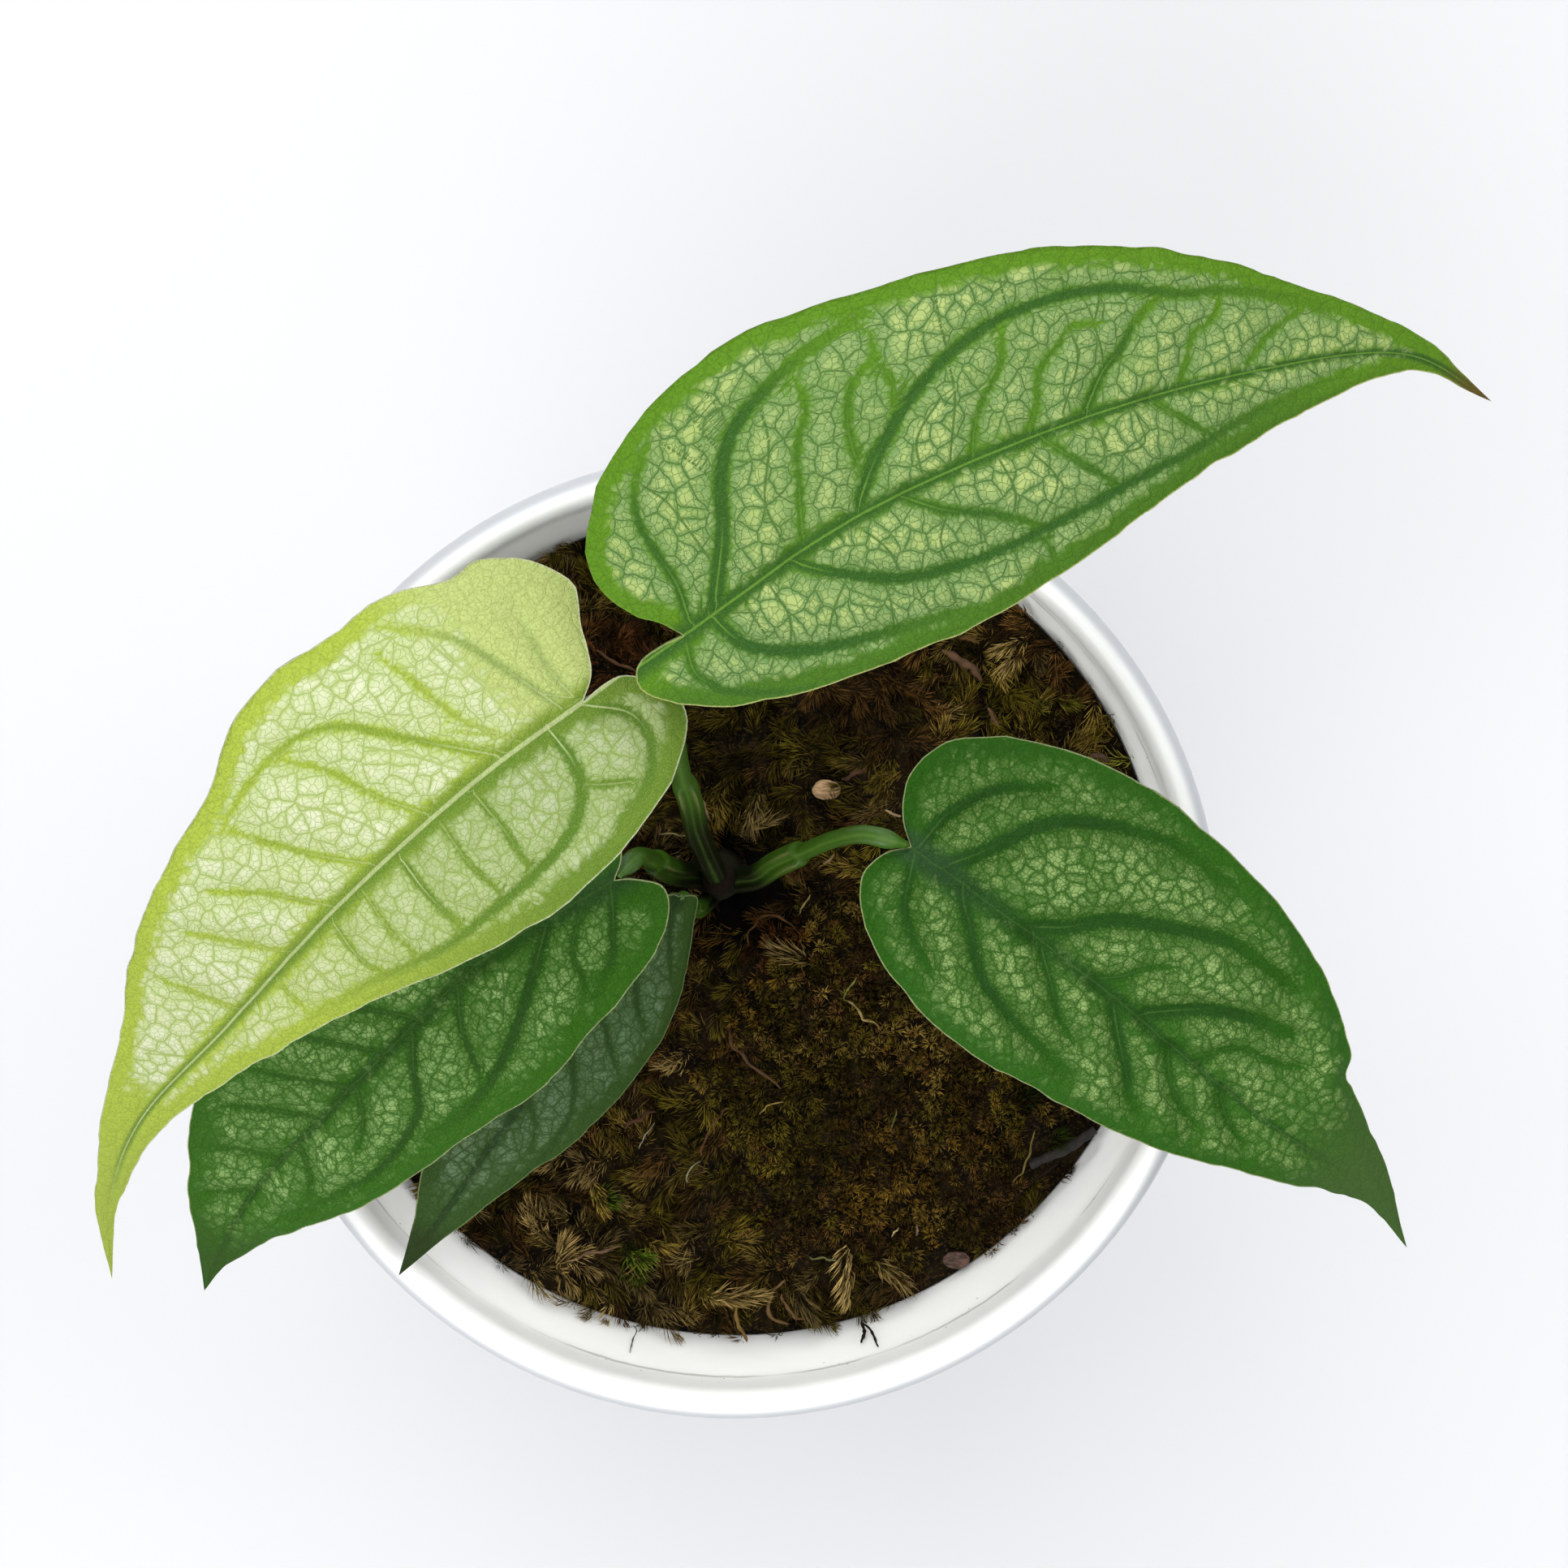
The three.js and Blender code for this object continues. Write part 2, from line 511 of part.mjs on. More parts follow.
const plant = new THREE.Group();
addMesh(plant, "pot", fromSolid(potSolid()), 0xf4f5f4, 0.25);
addMesh(plant, "potting_mix", fromSolid(mixSolid()), 0x2b1e15, 0.95);
const moss = addMesh(plant, "moss_mat", mossGeometry(), 0x4a3c1c, 0.95);
addMesh(plant, "stem", fromSolid(stemWithRoots(0)), 0x5b7a3a, 0.6);
for (const leaf of LEAVES) {
  addMesh(plant, leaf.name.replace("leaf", "leaf_stalk"), fromSolid(stalkSolid(leaf)), 0x55803a, 0.5);
  addMesh(plant, leaf.name, bladeGeometry(leaf), leaf.colour, 0.45);
}
addMesh(plant, "twig", seatOn(moss, twigGeometry()), 0x2a1c16, 0.8);
for (const piece of LITTER) {
  addMesh(plant, piece.name, seatOn(moss, litterGeometry(piece)), piece.colour, 0.8);
}

export default plant;
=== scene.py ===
# A young Monstera siltepecana in a white pot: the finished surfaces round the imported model. Sizes are
# in millimetres, +Z up, from the centre of the pot's foot. Meshes are made in metres.
import math

import bpy
import numpy as np
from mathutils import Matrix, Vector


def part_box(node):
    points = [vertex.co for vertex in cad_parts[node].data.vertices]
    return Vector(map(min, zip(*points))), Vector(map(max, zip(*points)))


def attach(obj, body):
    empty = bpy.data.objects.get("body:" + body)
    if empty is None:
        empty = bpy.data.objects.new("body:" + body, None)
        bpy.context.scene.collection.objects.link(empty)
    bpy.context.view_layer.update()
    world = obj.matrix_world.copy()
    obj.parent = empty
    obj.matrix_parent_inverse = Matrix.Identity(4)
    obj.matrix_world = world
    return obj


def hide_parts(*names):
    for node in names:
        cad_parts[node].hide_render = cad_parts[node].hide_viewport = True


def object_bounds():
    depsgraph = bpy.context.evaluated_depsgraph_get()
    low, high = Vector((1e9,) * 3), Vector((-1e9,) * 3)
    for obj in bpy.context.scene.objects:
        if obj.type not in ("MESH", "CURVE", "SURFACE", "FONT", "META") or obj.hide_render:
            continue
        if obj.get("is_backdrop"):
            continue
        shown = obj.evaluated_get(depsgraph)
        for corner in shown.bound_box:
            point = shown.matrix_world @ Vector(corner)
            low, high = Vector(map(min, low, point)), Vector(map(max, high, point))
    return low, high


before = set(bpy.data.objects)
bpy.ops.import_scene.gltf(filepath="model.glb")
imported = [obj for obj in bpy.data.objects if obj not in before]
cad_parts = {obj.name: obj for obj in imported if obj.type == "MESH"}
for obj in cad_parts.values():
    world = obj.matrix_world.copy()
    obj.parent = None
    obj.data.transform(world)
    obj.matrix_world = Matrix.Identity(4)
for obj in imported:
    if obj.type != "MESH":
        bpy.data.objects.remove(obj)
cad_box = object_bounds()

# The view: from half a metre above the leaves and five degrees in front of straight down, through a
# long lens. The frame is square, 1932 pixels wide, and the focal length is 5000 of those pixels.
MM = 0.001
PHOTO_WIDTH = 1932
FOCAL_PIXELS = 5000
SENSOR = 36
LEAN = math.radians(5)
EYE = (6.197, 63.36, 598.10)

camera = bpy.data.objects.new("camera", bpy.data.cameras.new("camera"))
bpy.context.collection.objects.link(camera)
camera.data.sensor_width = SENSOR
camera.data.lens = SENSOR * FOCAL_PIXELS / PHOTO_WIDTH
camera.data.clip_start = 0.01
camera.location = [part * MM for part in EYE]
camera.rotation_euler = (-LEAN, 0, 0)
bpy.context.scene.camera = camera
bpy.context.scene.view_settings.view_transform = "Standard"

# The studio: a pale floor under two wide soft lights, a lower one behind the plant and one in front
# of it, in white surroundings that are brightest overhead, so that light falls into the pot.
FLOOR_HALF = 4000
TENT_TOP = 1.15
TENT_SIDE = 0.62
TENT_BEND = 0.62
LAMPS = [
    {"name": "light_left", "place": (-400, 600, 1250), "aim": (0, 0, 100), "size": 900, "watts": 7},
    {"name": "light_right", "place": (700, 500, 1000), "aim": (0, 0, 100), "size": 700, "watts": 4},
    {"name": "light_back", "place": (-150, 1300, 750), "aim": (0, 0, 100), "size": 1000, "watts": 8},
    {"name": "light_front", "place": (-500, -900, 900), "aim": (20, 20, 90), "size": 900, "watts": 10},
]


def aim_at(place, target):
    """The turn that points a lamp's -Z axis from its place to its target."""
    from_target = np.subtract(place, target)
    distance = np.linalg.norm(from_target)
    tilt = math.acos(from_target[2] / distance)
    heading = math.atan2(from_target[1], from_target[0]) + math.pi / 2
    return (tilt, 0, heading)


for lamp in LAMPS:
    light = bpy.data.lights.new(lamp["name"], "AREA")
    light.size = lamp["size"] * MM
    light.energy = lamp["watts"]
    stand = bpy.data.objects.new(lamp["name"], light)
    stand.location = [part * MM for part in lamp["place"]]
    stand.rotation_euler = aim_at(lamp["place"], lamp["aim"])
    bpy.context.collection.objects.link(stand)

world = bpy.data.worlds.new("studio")
world.use_nodes = True
sky = world.node_tree
heading = sky.nodes.new("ShaderNodeTexCoord")
upness = sky.nodes.new("ShaderNodeSeparateXYZ")
brightness = sky.nodes.new("ShaderNodeMapRange")
brightness.interpolation_type = "SMOOTHSTEP"
brightness.inputs["From Max"].default_value = TENT_BEND
brightness.inputs["To Min"].default_value = TENT_SIDE
brightness.inputs["To Max"].default_value = TENT_TOP
sky.links.new(heading.outputs["Generated"], upness.inputs["Vector"])
sky.links.new(upness.outputs["Z"], brightness.inputs["Value"])
sky.links.new(brightness.outputs["Result"], sky.nodes["Background"].inputs["Strength"])
sky.nodes["Background"].inputs["Color"].default_value = (1, 1, 1, 1)
bpy.context.scene.world = world


def tone(red, green, blue):
    """A colour given in the 0 to 255 steps of a screen, as the linear light that a shader takes."""
    share = np.array([red, green, blue]) / 255
    linear = np.where(share < 0.04045, share / 12.92, ((share + 0.055) / 1.055) ** 2.4)
    return (*linear.tolist(), 1.0)


def is_inside_out(points, triangles):
    """True where the faces enclose a negative volume, a sixth of the sum of a . (b x c)."""
    a, b, c = (points[triangles[:, corner]] for corner in range(3))
    return np.sum(a * np.cross(b, c)) < 0


def make_mesh(name, points, triangles):
    """A smooth mesh object from points in millimetres and corners, its faces turned outwards."""
    if is_inside_out(points, triangles):
        triangles = triangles[:, ::-1]
    mesh = bpy.data.meshes.new(name)
    mesh.from_pydata((points * MM).tolist(), [], triangles.tolist())
    mesh.shade_smooth()
    piece = bpy.data.objects.new(name, mesh)
    bpy.context.collection.objects.link(piece)
    return piece


def set_values(piece, name, values):
    """Keeps a number, or a colour, for each point of a mesh under a name that materials read."""
    is_colour = values.ndim == 2
    layer = piece.data.attributes.new(name, "FLOAT_COLOR" if is_colour else "FLOAT", "POINT")
    layer.data.foreach_set("color" if is_colour else "value", values.astype(np.float32).ravel())


floor_corners = FLOOR_HALF * np.array([[-1, -1, 0], [1, -1, 0], [1, 1, 0], [-1, 1, 0]], float)
floor = make_mesh("floor", floor_corners, np.array([[0, 1, 2], [0, 2, 3]]))
floor_finish = bpy.data.materials.new("floor_white")
floor_finish.use_nodes = True
floor_sockets = floor_finish.node_tree.nodes["Principled BSDF"].inputs
floor_sockets["Base Color"].default_value = tone(190, 191, 193)
floor_sockets["Roughness"].default_value = 0.9
floor_sockets["Specular IOR Level"].default_value = 0.1
floor.data.materials.append(floor_finish)
floor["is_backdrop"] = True

# The pot: one moulded shell of glossy white plastic. A straight lower wall opens wider under the
# rim, which is rolled outwards. It stands on a foot ring and a flat centre, and drains between them.
POT_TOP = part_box("pot")[1] / MM
RIM = POT_TOP.x
POT_HEIGHT = POT_TOP.z
FOOT = 41
WALL = 2.6
LIP_WIDTH = 3.8
LIP_ROUND = 3.6
LIP_TURN = (-30, 180)
FLOOR_TOP = 5
FOOT_RING_WIDTH = 3
FOOT_RECESS = 2
FOOT_CENTRE = 9
CREASE = (RIM - 4, POT_HEIGHT - 8)
WALL_BEND = (CREASE[0] - 6.4, CREASE[1] - 18)
FLOOR_EDGE = (FOOT - 2, FLOOR_TOP)
DRAIN_HOLES = 5
DRAIN_RADIUS = 1.8
POT_SIDES = 160
CORNER_ROUND = 1.5


def smoothstep(value, low, high):
    """0 below low and 1 above high, with a smooth rise between."""
    share = np.clip((value - low) / (high - low), 0, 1)
    return share * share * (3 - 2 * share)


def wall_radius(height):
    """Inside radius of the pot at a height: two straight walls that meet at the bend."""
    radii, heights = zip(FLOOR_EDGE, WALL_BEND, CREASE)
    return np.interp(height, heights, radii)


def round_corners(line, reach, steps=6):
    """Each inner corner of a line becomes the quadratic curve that starts `reach` before the corner,
    aims at it and ends `reach` after it, or half way to the next corner where that is nearer."""
    before, corner, after = line[:-2], line[1:-1], line[2:]
    pulls = []
    for neighbour in (before, after):
        gap = neighbour - corner
        length = np.linalg.norm(gap, axis=1, keepdims=True)
        pulls.append(corner + gap / length * np.minimum(reach, 0.45 * length))
    t = np.linspace(0, 1, steps)[:, None, None]
    curve = (1 - t) ** 2 * pulls[0] + 2 * t * (1 - t) * corner + t ** 2 * pulls[1]
    return np.vstack([line[:1], curve.transpose(1, 0, 2).reshape(-1, line.shape[1]), line[-1:]])


def grid_triangles(rows, columns, closed=False):
    """Two triangles for each cell of a grid of points. A closed grid joins its last column to its
    first."""
    cells = columns if closed else columns - 1
    i, j = np.meshgrid(np.arange(rows - 1), np.arange(cells), indexing="ij")
    a, b = i * columns + j, i * columns + (j + 1) % columns
    c, d = a + columns, b + columns
    return np.stack([a, c, d, a, d, b], -1).reshape(-1, 3)


def same_places(points, triangles):
    """The first point at each place, the triangles' corners counted by place, and which triangles
    still have three corners."""
    _, first, place = np.unique(np.round(points, 4), axis=0, return_index=True, return_inverse=True)
    corners = place.reshape(-1)[triangles]
    a, b, c = corners.T
    return first, corners, (a != b) & (b != c) & (c != a)


def weld(points, triangles):
    """Points at one place become one, and triangles that this collapses are dropped."""
    first, corners, is_whole = same_places(points, triangles)
    return points[first], corners[is_whole]


def lathe(profile, sides):
    """A profile of (radius, height) turned about Z: (r cos a, r sin a, height) at each angle a."""
    turn = np.linspace(0, 2 * math.pi, sides, endpoint=False)
    radius, height = profile[:, :1], profile[:, 1:]
    rings = np.stack([radius * np.cos(turn), radius * np.sin(turn), height + 0 * turn], -1)
    return weld(rings.reshape(-1, 3), grid_triangles(len(profile), sides, closed=True))


def pot_profile():
    """The half section of the pot, from the middle of its foot round the outside, over the rolled
    lip, an arc of an ellipse, and down the inside to the middle of its floor."""
    ring = FOOT - 1 - FOOT_RING_WIDTH
    cove = FLOOR_TOP + 1.5
    turn = np.radians(np.linspace(*LIP_TURN, 30))
    lip_radius = RIM + LIP_WIDTH / 2 * (np.cos(turn) - 1)
    lip = np.stack([lip_radius, POT_HEIGHT + LIP_ROUND * (np.sin(turn) - 1)], 1)
    outside = np.array([
        (0, 0), (FOOT_CENTRE, 0), (FOOT_CENTRE + 0.5, FOOT_RECESS), (ring - 0.5, FOOT_RECESS),
        (ring, 0), (FOOT - 1, 0), (FOOT, 1), (FLOOR_EDGE[0] + WALL, FLOOR_EDGE[1]),
        (WALL_BEND[0] + WALL, WALL_BEND[1]), (RIM - 2, CREASE[1] - 3), lip[0]])
    inside = np.array([
        lip[-1], CREASE, WALL_BEND, (wall_radius(cove), cove), (FLOOR_EDGE[0] - 2, FLOOR_TOP),
        (0, FLOOR_TOP)])
    rounded = [round_corners(line, CORNER_ROUND) for line in (outside, inside)]
    return np.vstack([rounded[0], lip[1:-1], rounded[1]])


def repeat_mesh(copies, triangles):
    """One mesh from the points of many copies of a shape, whose triangles count on from copy to
    copy."""
    shift = copies.shape[-2] * np.arange(copies[..., 0, 0].size)[:, None, None]
    return copies.reshape(-1, 3), (triangles + shift).reshape(-1, 3)


def drill_holes(piece):
    """Cuts the drain holes: straight round holes on a circle half way out to the foot."""
    reach = 3 * FLOOR_TOP
    drill = np.array([(0, -reach), (DRAIN_RADIUS, -reach), (DRAIN_RADIUS, reach), (0, reach)], float)
    points, triangles = lathe(drill, 32)
    turn = np.arange(DRAIN_HOLES) / DRAIN_HOLES * 2 * math.pi
    centres = FOOT / 2 * np.stack([np.cos(turn), np.sin(turn), 0 * turn], -1)
    points, triangles = repeat_mesh(points + centres[:, None], triangles)
    drills = make_mesh("drills", points, triangles)
    cut = piece.modifiers.new("drain_holes", "BOOLEAN")
    cut.operation = "DIFFERENCE"
    cut.object = drills
    cut.solver = "EXACT"
    whole = piece.evaluated_get(bpy.context.evaluated_depsgraph_get())
    drilled = bpy.data.meshes.new_from_object(whole)
    piece.modifiers.clear()
    piece.data = drilled
    bpy.data.objects.remove(drills)


class Signal:
    """What a shader node hands on: a number, a colour or a place. Numbers can be added and so on."""

    def __init__(self, socket):
        self.socket = socket

    def __add__(self, other):
        return combine("ADD", self, other)

    def __sub__(self, other):
        return combine("SUBTRACT", self, other)

    def __mul__(self, other):
        return combine("MULTIPLY", self, other)

    def __truediv__(self, other):
        return combine("DIVIDE", self, other)

    def __abs__(self):
        return combine("ABSOLUTE", self)


def new_node(tree, kind, output, settings):
    """A node with its settings, and one of its outputs as a signal."""
    made = tree.nodes.new(kind)
    for name, value in settings.items():
        setattr(made, name, value)
    return made, Signal(made.outputs[output])


def apply_node(kind, inputs, output=0, **settings):
    """A node whose inputs are signals or plain values, in the tree that its signals come from."""
    tree = next(value for value in inputs.values() if isinstance(value, Signal)).socket.id_data
    made, signal = new_node(tree, kind, output, settings)
    for name, value in inputs.items():
        if isinstance(value, Signal):
            tree.links.new(value.socket, made.inputs[name])
        else:
            made.inputs[name].default_value = value
    return signal


def combine(operation, first, second=0.0):
    """A number made from two by a sum, product or the like."""
    return apply_node("ShaderNodeMath", {0: first, 1: second}, operation=operation)


def measure(operation, first, second=(0, 0, 0), output=0):
    """A place or a length made from two places."""
    return apply_node("ShaderNodeVectorMath", {0: first, 1: second}, output, operation=operation)


def split(place):
    """The X, Y and Z of a place."""
    first = apply_node("ShaderNodeSeparateXYZ", {0: place})
    return [Signal(socket) for socket in first.socket.node.outputs]


def rise(value, low, high, start=0.0, end=1.0):
    """Goes smoothly from start to end as value goes from low to high."""
    sides = {"Value": value, "From Min": low, "From Max": high, "To Min": start, "To Max": end}
    return apply_node("ShaderNodeMapRange", sides, interpolation_type="SMOOTHSTEP")


def blend(share, first, second):
    """A colour that goes from the first to the second by share."""
    return apply_node("ShaderNodeMix", {0: share, 6: first, 7: second}, 2, data_type="RGBA")


def noise(place, scale, detail=2.0, output="Fac"):
    """Soft random clouds over a place that is given in millimetres."""
    inputs = {"Vector": place, "Scale": scale, "Detail": detail}
    return apply_node("ShaderNodeTexNoise", inputs, output)


def cells(place, scale, output="Distance", **settings):
    """A pattern of irregular cells over a place that is given in millimetres."""
    return apply_node("ShaderNodeTexVoronoi", {"Vector": place, "Scale": scale}, output, **settings)


def chance_of(cell_colours):
    """A random number for each cell, from the random colours of the cells."""
    return apply_node("ShaderNodeSeparateColor", {0: cell_colours})


class Finish:
    """A material with one Principled shader, whose plain settings are put on its own sockets."""

    def __init__(self, name, **settings):
        self.material = bpy.data.materials.new(name)
        self.material.use_nodes = True
        self.tree = self.material.node_tree
        self.sockets = self.tree.nodes["Principled BSDF"].inputs
        for socket, value in settings.items():
            self.sockets[socket.replace("_", " ")].default_value = value

    def place(self):
        """The place on the piece, from Object coordinates, in millimetres."""
        where = new_node(self.tree, "ShaderNodeTexCoord", "Object", {})[1]
        return apply_node("ShaderNodeVectorMath", {0: where, "Scale": 1 / MM}, operation="SCALE")

    def read(self, name, output="Fac"):
        """A number or colour kept for each point of the mesh under a name."""
        return new_node(self.tree, "ShaderNodeAttribute", output, {"attribute_name": name})[1]

    def feed(self, **signals):
        """Links signals to the shader's sockets, an underscore standing for a space."""
        for name, signal in signals.items():
            self.tree.links.new(signal.socket, self.sockets[name.replace("_", " ")])

    def add_bump(self, height, depth, strength=1.0):
        """Relief from a height of 0 to 1 that stands `depth` millimetres high."""
        settings = {"Height": height, "Distance": depth * MM, "Strength": strength}
        self.feed(Normal=apply_node("ShaderNodeBump", settings))


def pot_finish():
    """Near-white gloss, soft moulding waves, soil crumbs in the crease, and painted grey shade on the
    outer rim and outside wall.
    """
    gloss = Finish("pot_gloss", Roughness=0.34, IOR=1.46)
    place = gloss.place()
    height = split(place)[2]
    radius = measure("LENGTH", measure("MULTIPLY", place, (1, 1, 0)), output="Value")
    base = blend(noise(place, 0.03), tone(251, 252, 250), tone(254, 254, 252))
    # Painted shade: the outer part of the rolled rim turns grey where it curves down away from the light.
    base = blend(rise(radius, RIM - 2.8, RIM - 0.6), base, tone(168, 171, 175))
    # Painted shade: the outside wall below the rim is greyer than the inside.
    base = blend(gloss.read("outer"), base, tone(210, 212, 216))
    from_crease = abs(height + noise(place, 0.5) * 0.5 - (CREASE[1] + 0.25))
    patches = rise(noise(place, 0.07), 0.42, 0.6)
    seam = rise(from_crease, 0.45, 0.05) * (patches + 0.12) * rise(radius, RIM - 2.2, RIM - 3.2)
    base = blend(seam * 0.5, base, tone(140, 138, 126))
    size = rise(from_crease, 6, 0.5) * patches * 0.13
    dirt = rise(size - cells(place, 0.6), 0, 0.05) * rise(radius, RIM, RIM - 3)
    base = blend(dirt * 0.55, base, tone(120, 104, 88))
    gloss.feed(Base_Color=base, Roughness=rise(noise(place, 0.4), 0.3, 0.7, 0.28, 0.42))
    gloss.add_bump(noise(place, 0.12), 0.25)
    return gloss


def finish_piece(piece, finish, slot, *nodes):
    """The piece gets its material, rides with the plant and stands for its CAD nodes."""
    piece.data.materials.clear()
    piece.data.materials.append(finish.material)
    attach(piece, "root")
    if nodes:
        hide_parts(*nodes)


pot = make_mesh("pot_shell", *lathe(pot_profile(), POT_SIDES))
drill_holes(pot)
pot.data.set_sharp_from_angle(angle=math.radians(50))
pot_points = np.array([point.co for point in pot.data.vertices]) / MM
pot_radius = np.hypot(pot_points[:, 0], pot_points[:, 1])
is_outer = (pot_radius > wall_radius(pot_points[:, 2]) + WALL / 2) & (pot_points[:, 2] < CREASE[1])
set_values(pot, "outer", is_outer.astype(float))
finish_piece(pot, pot_finish(), "pot_white", "pot")

# The potting mix: moist dark peat with bark crumbs, filled into the pot up to a flat top. The packed
# solid has its shape and its holes for the roots already, and only gets its finish here.


def mix_finish():
    """Dark crumbs of several sizes, some of them paler bark."""
    crumbs = Finish("potting_mix_crumbs", Roughness=0.95)
    place = crumbs.place()
    grain = chance_of(cells(place, 0.5, "Color"))
    base = blend(grain, tone(38, 27, 20), tone(66, 47, 34))
    base = blend(rise(grain, 0.85, 0.95), base, tone(112, 84, 60))
    crumbs.feed(Base_Color=base)
    crumbs.add_bump(cells(place, 0.5) + noise(place, 1.6, 5.0), 1.0)
    return crumbs


potting_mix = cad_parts["potting_mix"]
potting_mix.data.materials.clear()
potting_mix.data.materials.append(mix_finish().material)

# The stem: short and upright, swollen and ringed with brown scars where leaves stood. Thick roots
# run out and down from its foot through the potting mix.
STEM_FOOT = np.array([-3, 6, 58], float)
STEM_TOP = np.array([-2, 7.5, 95], float)
STEM_RADIUS = 3
STEM_NODES = 4
ROOTS = 6
MIX_TOP = 79
ROOT_ROUTE = np.array([(0, 0), (9, -2), (20, -9), (28, -22), (30, -36)], float)


def spline(points, per_span=40):
    """The centripetal Catmull-Rom curve through points: between two of them it is the cubic whose
    slopes follow the neighbouring points, each weighed by the root of its distance."""
    p = np.asarray(points, float)
    ends = np.vstack([2 * p[0] - p[1], p, 2 * p[-1] - p[-2]])
    before, start, end, after = ends[:-3], ends[1:-2], ends[2:-1], ends[3:]
    step = np.sqrt(np.linalg.norm(np.diff(ends, axis=0), axis=1))[:, None]
    near, middle, far = step[:-2], step[1:-1], step[2:]
    run = (end - start) / middle
    leave = middle * ((start - before) / near - (end - before) / (near + middle) + run)
    arrive = middle * (run - (after - start) / (middle + far) + (after - end) / far)
    t = np.linspace(0, 1, per_span, endpoint=False)[:, None, None]
    curve = ((2 * t ** 3 - 3 * t ** 2 + 1) * start + (t ** 3 - 2 * t ** 2 + t) * leave
             + (3 * t ** 2 - 2 * t ** 3) * end + (t ** 3 - t ** 2) * arrive)
    return np.vstack([curve.transpose(1, 0, 2).reshape(-1, p.shape[1]), p[-1:]])


def lengths_along(line):
    """Distance from the start of a line to each of its points."""
    return np.concatenate([[0], np.cumsum(np.linalg.norm(np.diff(line, axis=0), axis=1))])


def resample(line, shares):
    """Points of a line at given shares of its length."""
    along = lengths_along(line)
    return np.stack([np.interp(np.asarray(shares) * along[-1], along, axis) for axis in line.T], -1)


def tube(route, radius_at, steps, sides, shares=None):
    """A closed tube along a curve. radius_at(share, turn) gives its radius at a share of its length
    and a turn about it, where turn 0 faces the side of the tube that looks upwards."""
    shares = np.linspace(0, 1, steps) if shares is None else shares
    centre = resample(spline(route), shares)
    along = np.gradient(centre, axis=0)
    along /= np.linalg.norm(along, axis=1, keepdims=True)
    upper = np.array([0, 0, 1]) - along * along[:, 2:]
    upper[np.linalg.norm(upper, axis=1) < 0.05] = (1, 0, 0)
    upper /= np.linalg.norm(upper, axis=1, keepdims=True)
    side = np.cross(along, upper)
    turn = np.linspace(-math.pi, math.pi, sides, endpoint=False)
    share_grid, turn_grid = np.meshgrid(shares, turn, indexing="ij")
    radius = radius_at(share_grid, turn_grid)[..., None]
    ring = centre[:, None] + radius * (
        np.cos(turn_grid)[..., None] * upper[:, None] + np.sin(turn_grid)[..., None] * side[:, None])
    points = np.vstack([ring.reshape(-1, 3), centre[:1], centre[-1:]])
    body = grid_triangles(len(shares), sides, closed=True)
    k = np.arange(sides)
    after = (k + 1) % sides
    last = (len(shares) - 1) * sides
    start_cap = np.stack([np.full(sides, len(points) - 2), k, after], -1)
    end_cap = np.stack([np.full(sides, len(points) - 1), last + after, last + k], -1)
    return points, np.vstack([body, start_cap, end_cap]), share_grid, turn_grid


def join_meshes(parts):
    """Several (points, triangles) as one."""
    counts = np.cumsum([0] + [len(part[0]) for part in parts])
    return (np.vstack([part[0] for part in parts]),
            np.vstack([part[1] + count for part, count in zip(parts, counts)]))


def stem_radius(share, turn):
    """Slim at the foot and at the top, and swollen at each node, with a sharp ring in its middle."""
    node = np.maximum(0, np.cos(share * STEM_NODES * 2 * math.pi)) ** 4
    ring = np.maximum(0, np.cos(share * STEM_NODES * 2 * math.pi)) ** 120
    taper = 0.85 + 0.15 * smoothstep(share, 0, 0.4) - 0.45 * smoothstep(share, 0.88, 1)
    return STEM_RADIUS * (taper + 0.1 * node + 0.05 * ring + 0.015 * np.sin(3 * turn + 20 * share))


def root_tube(index):
    """A root leaves the stem's foot, runs outwards, turns a little and dives."""
    heading = (index + 0.5) / ROOTS * 2 * math.pi
    start = STEM_FOOT + (STEM_TOP - STEM_FOOT) * (0.06 + 0.07 * (index % 3))
    reach = 1 + 0.15 * math.sin(5 * index)
    turn = heading + 0.12 * np.arange(len(ROOT_ROUTE)) * (1 if index % 2 else -1)
    out, down = ROOT_ROUTE.T
    route = start + np.stack([out * reach * np.cos(turn), out * reach * np.sin(turn), down], -1)
    return tube(route, lambda share, turn: 1.3 - 0.6 * share + 0.05 * np.sin(60 * share), 60, 12)[:2]


def stem_finish():
    """Near-black green skin, painted shade of the pit; brown and corky at the nodes, pale brown on the
    roots.
    """
    bark = Finish("stem_skin", Roughness=0.85, Specular_IOR_Level=0.1)
    place = bark.place()
    height = split(place)[2]
    # Painted shade: the green is darkened almost to black for the shade of the pit among the stalk bases.
    base = blend(noise(place, 0.5, 4.0), tone(12, 13, 6), tone(28, 27, 13))
    wave = combine("SINE", height * (2 * math.pi * STEM_NODES / (STEM_TOP[2] - STEM_FOOT[2])))
    base = blend(rise(wave, 0.75, 0.98), base, tone(24, 16, 9))
    base = blend(rise(height, MIX_TOP + 5, MIX_TOP - 3), base, tone(132, 106, 74))
    bark.feed(Base_Color=base)
    bark.add_bump(noise(place, 3.0, 4.0), 0.2)
    return bark


stem_tube = tube([STEM_FOOT, (STEM_FOOT + STEM_TOP) / 2, STEM_TOP], stem_radius, 120, 32)[:2]
root_tubes = [root_tube(index) for index in range(ROOTS)]
stem = make_mesh("stem_and_roots", *join_meshes([stem_tube] + root_tubes))
finish_piece(stem, stem_finish(), "stem_green", "stem")

# The moss: living moss packed on the mix from wall to wall. Its old growth is a dark, lumpy felt,
# with a pit round the stem. Living shoots like small brushes stand on the felt and arch over.
MOSS_EDGE_TOP = 83
MOSS_CENTRE_TOP = 87.5
MOSS_GAP = 0.3
PIT = (0.5, 5.5)
rng = np.random.default_rng(7)


